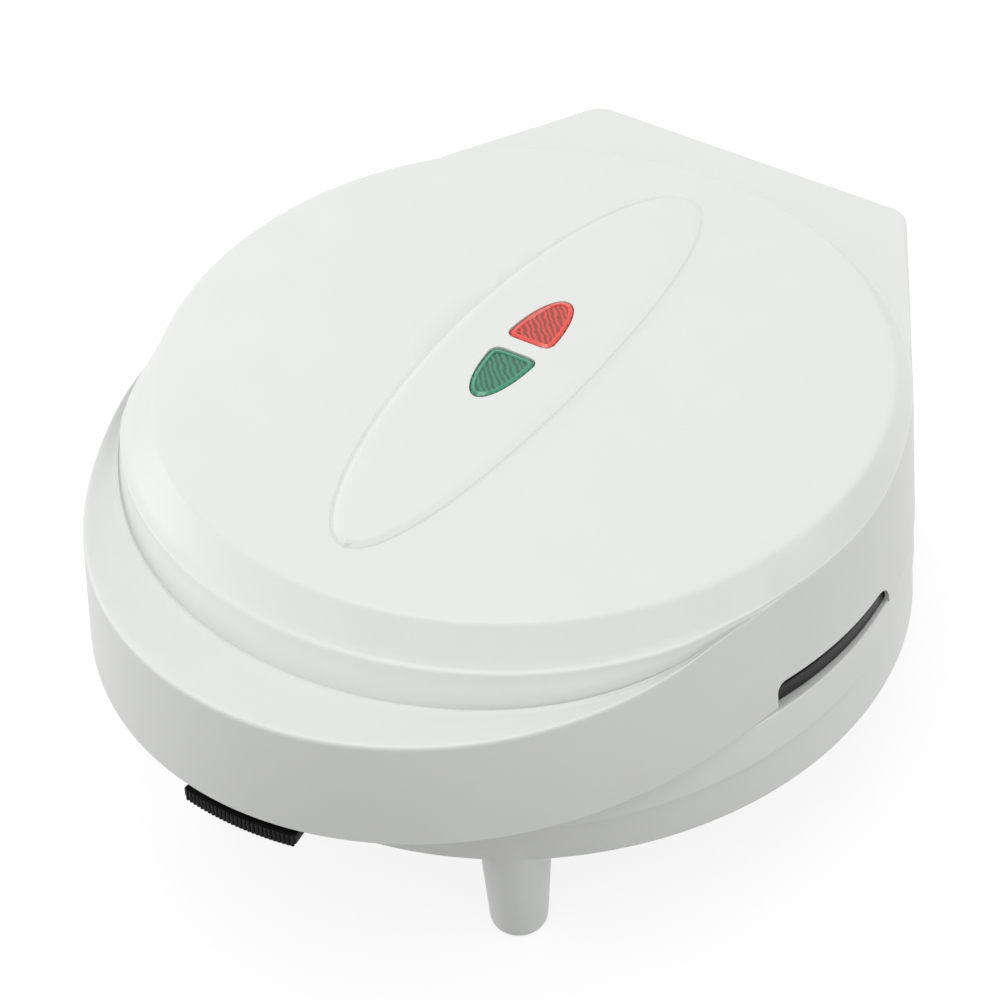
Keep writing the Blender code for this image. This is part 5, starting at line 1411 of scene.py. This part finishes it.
def vary_roughness(tree, texture, low, high, shader):
    """Lets a texture move the roughness between two values."""
    span = add(tree, "ShaderNodeMapRange",
               {"From Min": NOISE_LOW, "From Max": NOISE_HIGH, "To Min": low, "To Max": high})
    wire(tree, (texture, "Fac", span, "Value"), (span, "Result", shader, "Roughness"))


def tones(tree, texture, first, second, spots=TONE_SPOTS):
    """A texture turned into two colours that blend between two spots."""
    ramp = add(tree, "ShaderNodeValToRGB")
    for stop, spot, tint in zip(ramp.color_ramp.elements, spots, (first, second)):
        stop.position = spot
        stop.color = (*tint, 1.0)
    wire(tree, (texture, "Fac", ramp, "Fac"))
    return ramp


def bump(tree, texture, depth, shader):
    raised = add(tree, "ShaderNodeBump", {"Distance": depth, "Strength": 1.0})
    wire(tree, (texture, "Fac", raised, "Height"), (raised, "Normal", shader, "Normal"))


def grained(name, base, roughness, cells, depth, tone, metallic=0.0, stretch=None, extras=None):
    """A finish with a fine grain, slow changes of tone and a roughness that wanders."""
    found = finish_named(name)
    if found:
        return found
    made, tree, shader = new_finish("finish_" + name, base, roughness, metallic)
    slow = noise(tree, SLOW_CELLS, 3.0)
    fine = noise(tree, cells, stretch=stretch)
    ramp = tones(tree, slow, toned(base, 1 - tone), toned(base, 1 + tone))
    wire(tree, (ramp, "Color", shader, "Base Color"))
    vary_roughness(tree, fine, roughness - ROUGHNESS_SWAY, roughness + ROUGHNESS_SWAY, shader)
    bump(tree, fine, depth, shader)
    set_inputs(shader, extras or {})
    return made


def white_plastic():
    return grained("white_plastic", group("colours").white, 0.36, cells=2400.0, depth=0.00003, tone=0.006)


def black_plastic():
    return grained("black_plastic", group("colours").black, 0.5, cells=2600.0, depth=0.00003, tone=0.12,
                   extras={"Specular IOR Level": 0.12})


def dark_phenolic():
    return grained("dark_phenolic", group("colours").phenolic, 0.58, cells=1800.0, depth=0.00003, tone=0.15)


def non_stick_coating():
    return grained("non_stick_coating", group("colours").coating, 0.42, cells=1500.0, depth=0.00005,
                   tone=0.15, extras={"Specular IOR Level": 0.3})


def brushed_steel():
    return grained("brushed_steel", group("colours").steel, 0.30, cells=900.0, depth=0.00001, tone=0.05,
                   metallic=1.0, stretch=(1.0, 8.0, 8.0))


def bright_sheet():
    return grained("bright_sheet", group("colours").sheet, 0.26, cells=700.0, depth=0.000015, tone=0.05,
                   metallic=1.0, stretch=(1.0, 6.0, 1.0))


def lamp_glass():
    return grained("lamp_glass", group("colours").glass, 0.12, cells=300.0, depth=0.00001, tone=0.04,
                   extras={"Transmission Weight": 0.6})


def lead_sleeve():
    """Braided glass sleeve: fine slanting waves in tone, roughness and height."""
    found = finish_named("lead_sleeve")
    if found:
        return found
    base = group("colours").sleeve
    made, tree, shader = new_finish("finish_lead_sleeve", base, 0.8)
    weave = waves(tree, 320.0, 1.5)
    ramp = tones(tree, weave, toned(base, 0.75), toned(base, 1.1))
    wire(tree, (ramp, "Color", shader, "Base Color"))
    vary_roughness(tree, weave, 0.72, 0.88, shader)
    bump(tree, weave, 0.0001, shader)
    return made


# The waves of the prism lines' painted shade, where their darker and lighter tones start and end, and the
# shares of a facet's depth between which the lens turns from the painted shade of its sunk inside to the
# painted highlight of its raised edge
PRISM_CELLS = 330.0
PRISM_BEND = 5.0
PRISM_SHADE_SPOTS = (0.20, 0.80)
PAINTED_HIGHLIGHT_SHARES = (0.9, 0.3)


def lens_with_painted_highlight_and_shade(name, base):
    """Tinted clear plastic: its raised edge painted brighter as a highlight, and its sunk inside painted
    darker, with prism lines painted as stripes of shade.
    """
    made, tree, shader = new_finish("finish_" + name, base, 0.14)
    facet = group("lenses").facet
    # Prism lines painted as stripes of shade, from 0.42 to 0.92 of the tint
    prisms = waves(tree, PRISM_CELLS, PRISM_BEND)
    prism_shade = tones(tree, prisms, toned(base, 0.42), toned(base, 0.92), PRISM_SHADE_SPOTS)
    place = add(tree, "ShaderNodeTexCoord")
    parts = add(tree, "ShaderNodeSeparateXYZ")
    # Mask by height: the sunk inside takes the painted shade, and the raised edge takes the painted
    # highlight
    raised = add(tree, "ShaderNodeMapRange",
                 {"From Min": lens_top() - facet * PAINTED_HIGHLIGHT_SHARES[0],
                  "From Max": lens_top() - facet * PAINTED_HIGHLIGHT_SHARES[1]})
    # The raised edge painted 1.1 times as bright as the tint: a painted highlight
    both = add(tree, "ShaderNodeMix", {"B": (*toned(base, 1.1), 1.0)}, data_type="RGBA")
    wire(tree, (place, "Object", parts, "Vector"), (parts, "Z", raised, "Value"),
         (raised, "Result", both, "Factor"), (prism_shade, "Color", both, "A"),
         (both, "Result", shader, "Base Color"))
    fine = noise(tree, 900.0)
    vary_roughness(tree, fine, 0.10, 0.2, shader)
    bump(tree, fine, 0.00001, shader)
    set_inputs(shader, {"Coat Weight": 0.4})
    return made


class WAFFLE_OT_fittings(bpy.types.Operator):
    """Give the fittings that stay as they are their finishes"""
    bl_idname = "waffle.fittings"
    bl_label = "Fittings"

    def execute(self, context):
        finishes = {
            brushed_steel: ("heating_element", "screw", "pin"),
            bright_sheet: ("reflector", "fuse"),
            dark_phenolic: ("carrier", "thermostat"),
            lamp_glass: ("_lamp",),
            lead_sleeve: ("_lead",),
            white_plastic: ("terminal_block",),
            black_plastic: ("cord_bushing",),
        }
        for name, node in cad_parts.items():
            for made, words in finishes.items():
                if any(word in name for word in words):
                    if "carrier_screw" in name and made is dark_phenolic:
                        continue
                    node.data.materials.clear()
                    node.data.materials.append(made())
        return {"FINISHED"}


# Stage

FLOOR_REACH = 4.0
FLOOR_DEPTH = 0.01
LAMP_AIM = Vector((0.0, 0.0, 0.06))
# Softboxes: name, place, width, height, and the name of the power among the stage's sizes
SOFTBOXES = (("overhead_softbox", (-0.25, 0.05, 1.45), 0.6, 0.6, "key_power"),
             ("left_softbox", (-1.35, -0.5, 0.25), 1.0, 0.45, "left_power"),
             ("right_softbox", (1.4, 0.3, 0.17), 0.8, 0.3, "right_power"))


def area_lamp(name, place, wide, high, power):
    lamp = bpy.data.lights.new(name, "AREA")
    lamp.shape = "RECTANGLE"
    lamp.size, lamp.size_y, lamp.energy = wide, high, power
    item = bpy.data.objects.new(name, lamp)
    item.location = place
    item.rotation_euler = (LAMP_AIM - Vector(place)).to_track_quat("-Z", "Y").to_euler()
    bpy.context.scene.collection.objects.link(item)


def seen_or_mirrored(tree):
    """One for rays from the camera and for those that mirrors and glass send on."""
    path = add(tree, "ShaderNodeLightPath")
    either = add(tree, "ShaderNodeMath", operation="MAXIMUM")
    any_of = add(tree, "ShaderNodeMath", operation="MAXIMUM")
    wire(tree, (path, "Is Camera Ray", either, 0), (path, "Is Glossy Ray", either, 1),
         (either, 0, any_of, 0), (path, "Is Transmission Ray", any_of, 1))
    return any_of


def floor_finish():
    """Pale matt floor that shows as white and keeps a soft shadow."""
    made, tree, shader = new_finish("finish_floor", group("colours").floor, 0.9)
    set_inputs(shader, {"Specular IOR Level": 0.0})
    glow = add(tree, "ShaderNodeEmission", {"Strength": group("stage").floor_glow})
    both = add(tree, "ShaderNodeAddShader")
    choose = add(tree, "ShaderNodeMixShader")
    wire(tree, (shader, 0, both, 0), (glow, 0, both, 1), (seen_or_mirrored(tree), 0, choose, 0),
         (shader, 0, choose, 1), (both, 0, choose, 2),
         (choose, 0, tree.nodes["Material Output"], "Surface"))
    return made


def pale_world():
    """White to the camera, and even light of a set strength on the object."""
    world = bpy.data.worlds.new("pale_room")
    world.use_nodes = True
    tree = world.node_tree
    back = tree.nodes["Background"]
    set_inputs(back, {"Color": (1.0, 1.0, 1.0, 1.0)})
    level = add(tree, "ShaderNodeMapRange", {"To Min": group("stage").sky, "To Max": 1.0})
    wire(tree, (seen_or_mirrored(tree), 0, level, "Value"), (level, "Result", back, "Strength"))
    bpy.context.scene.world = world


def photo_camera():
    """Camera at the photograph's angle, aimed past the disc's centre."""
    o, stage, lid = group("outline"), group("stage"), group("lid")
    az, el, roll = stage.azimuth, stage.elevation, stage.roll
    right = Vector((math.cos(az), math.sin(az), 0.0))
    back = Vector((math.sin(az) * math.cos(el), -math.cos(az) * math.cos(el), math.sin(el)))
    up = back.cross(right)
    centre = Vector((0.0, o.disc_y, lid.rim_z))
    place = centre + stage.shift_right * right + stage.shift_up * up + stage.distance * back
    level_right = right * math.cos(roll) + up * math.sin(roll)
    level_up = up * math.cos(roll) - right * math.sin(roll)
    camera = bpy.data.cameras.new("photo_camera")
    camera.lens = stage.focal
    item = bpy.data.objects.new("photo_camera", camera)
    axes = Matrix((level_right, level_up, back)).transposed()
    item.matrix_world = Matrix.Translation(place) @ axes.to_4x4()
    bpy.context.scene.collection.objects.link(item)
    bpy.context.scene.camera = item


class WAFFLE_OT_stage(bpy.types.Operator):
    """Set up the floor, the soft light and the camera"""
    bl_idname = "waffle.stage"
    bl_label = "Stage"

    def execute(self, context):
        far = FLOOR_REACH
        floor = slab("pale_floor", [(-far, -far), (far, -far), (far, far), (-far, far)], -FLOOR_DEPTH, 0.0)
        floor.data.materials.append(floor_finish())
        for name, place, wide, high, power in SOFTBOXES:
            area_lamp(name, place, wide, high, getattr(group("stage"), power))
        pale_world()
        photo_camera()
        bpy.context.scene.view_settings.view_transform = "Standard"
        return {"FINISHED"}


class WAFFLE_PT_panel(bpy.types.Panel):
    """Sizes, colours and building steps of the waffle maker"""
    bl_idname = "WAFFLE_PT_panel"
    bl_label = "Heart waffle maker"
    bl_space_type = "VIEW_3D"
    bl_region_type = "UI"
    bl_category = "Waffle maker"

    def draw(self, context):
        for name, kind in GROUPS.items():
            column = self.layout.column(align=True)
            column.label(text=name.capitalize())
            for label in kind.__annotations__:
                column.prop(group(name), label)
        for step in STEPS:
            self.layout.operator(step.bl_idname)


STEPS = (WAFFLE_OT_lid, WAFFLE_OT_base, WAFFLE_OT_plates, WAFFLE_OT_latch, WAFFLE_OT_lenses,
         WAFFLE_OT_fittings, WAFFLE_OT_stage)


def register():
    for kind in (*GROUPS.values(), *STEPS, WAFFLE_PT_panel):
        bpy.utils.register_class(kind)
    for name, kind in GROUPS.items():
        setattr(bpy.types.Scene, "waffle_" + name, bpy.props.PointerProperty(type=kind))


def unregister():
    for name in GROUPS:
        delattr(bpy.types.Scene, "waffle_" + name)
    for kind in reversed((*GROUPS.values(), *STEPS, WAFFLE_PT_panel)):
        bpy.utils.unregister_class(kind)


def main():
    register()
    for step in STEPS:
        name = step.bl_idname.split(".")[1]
        getattr(bpy.ops.waffle, name)()


if __name__ == "__main__":
    main()
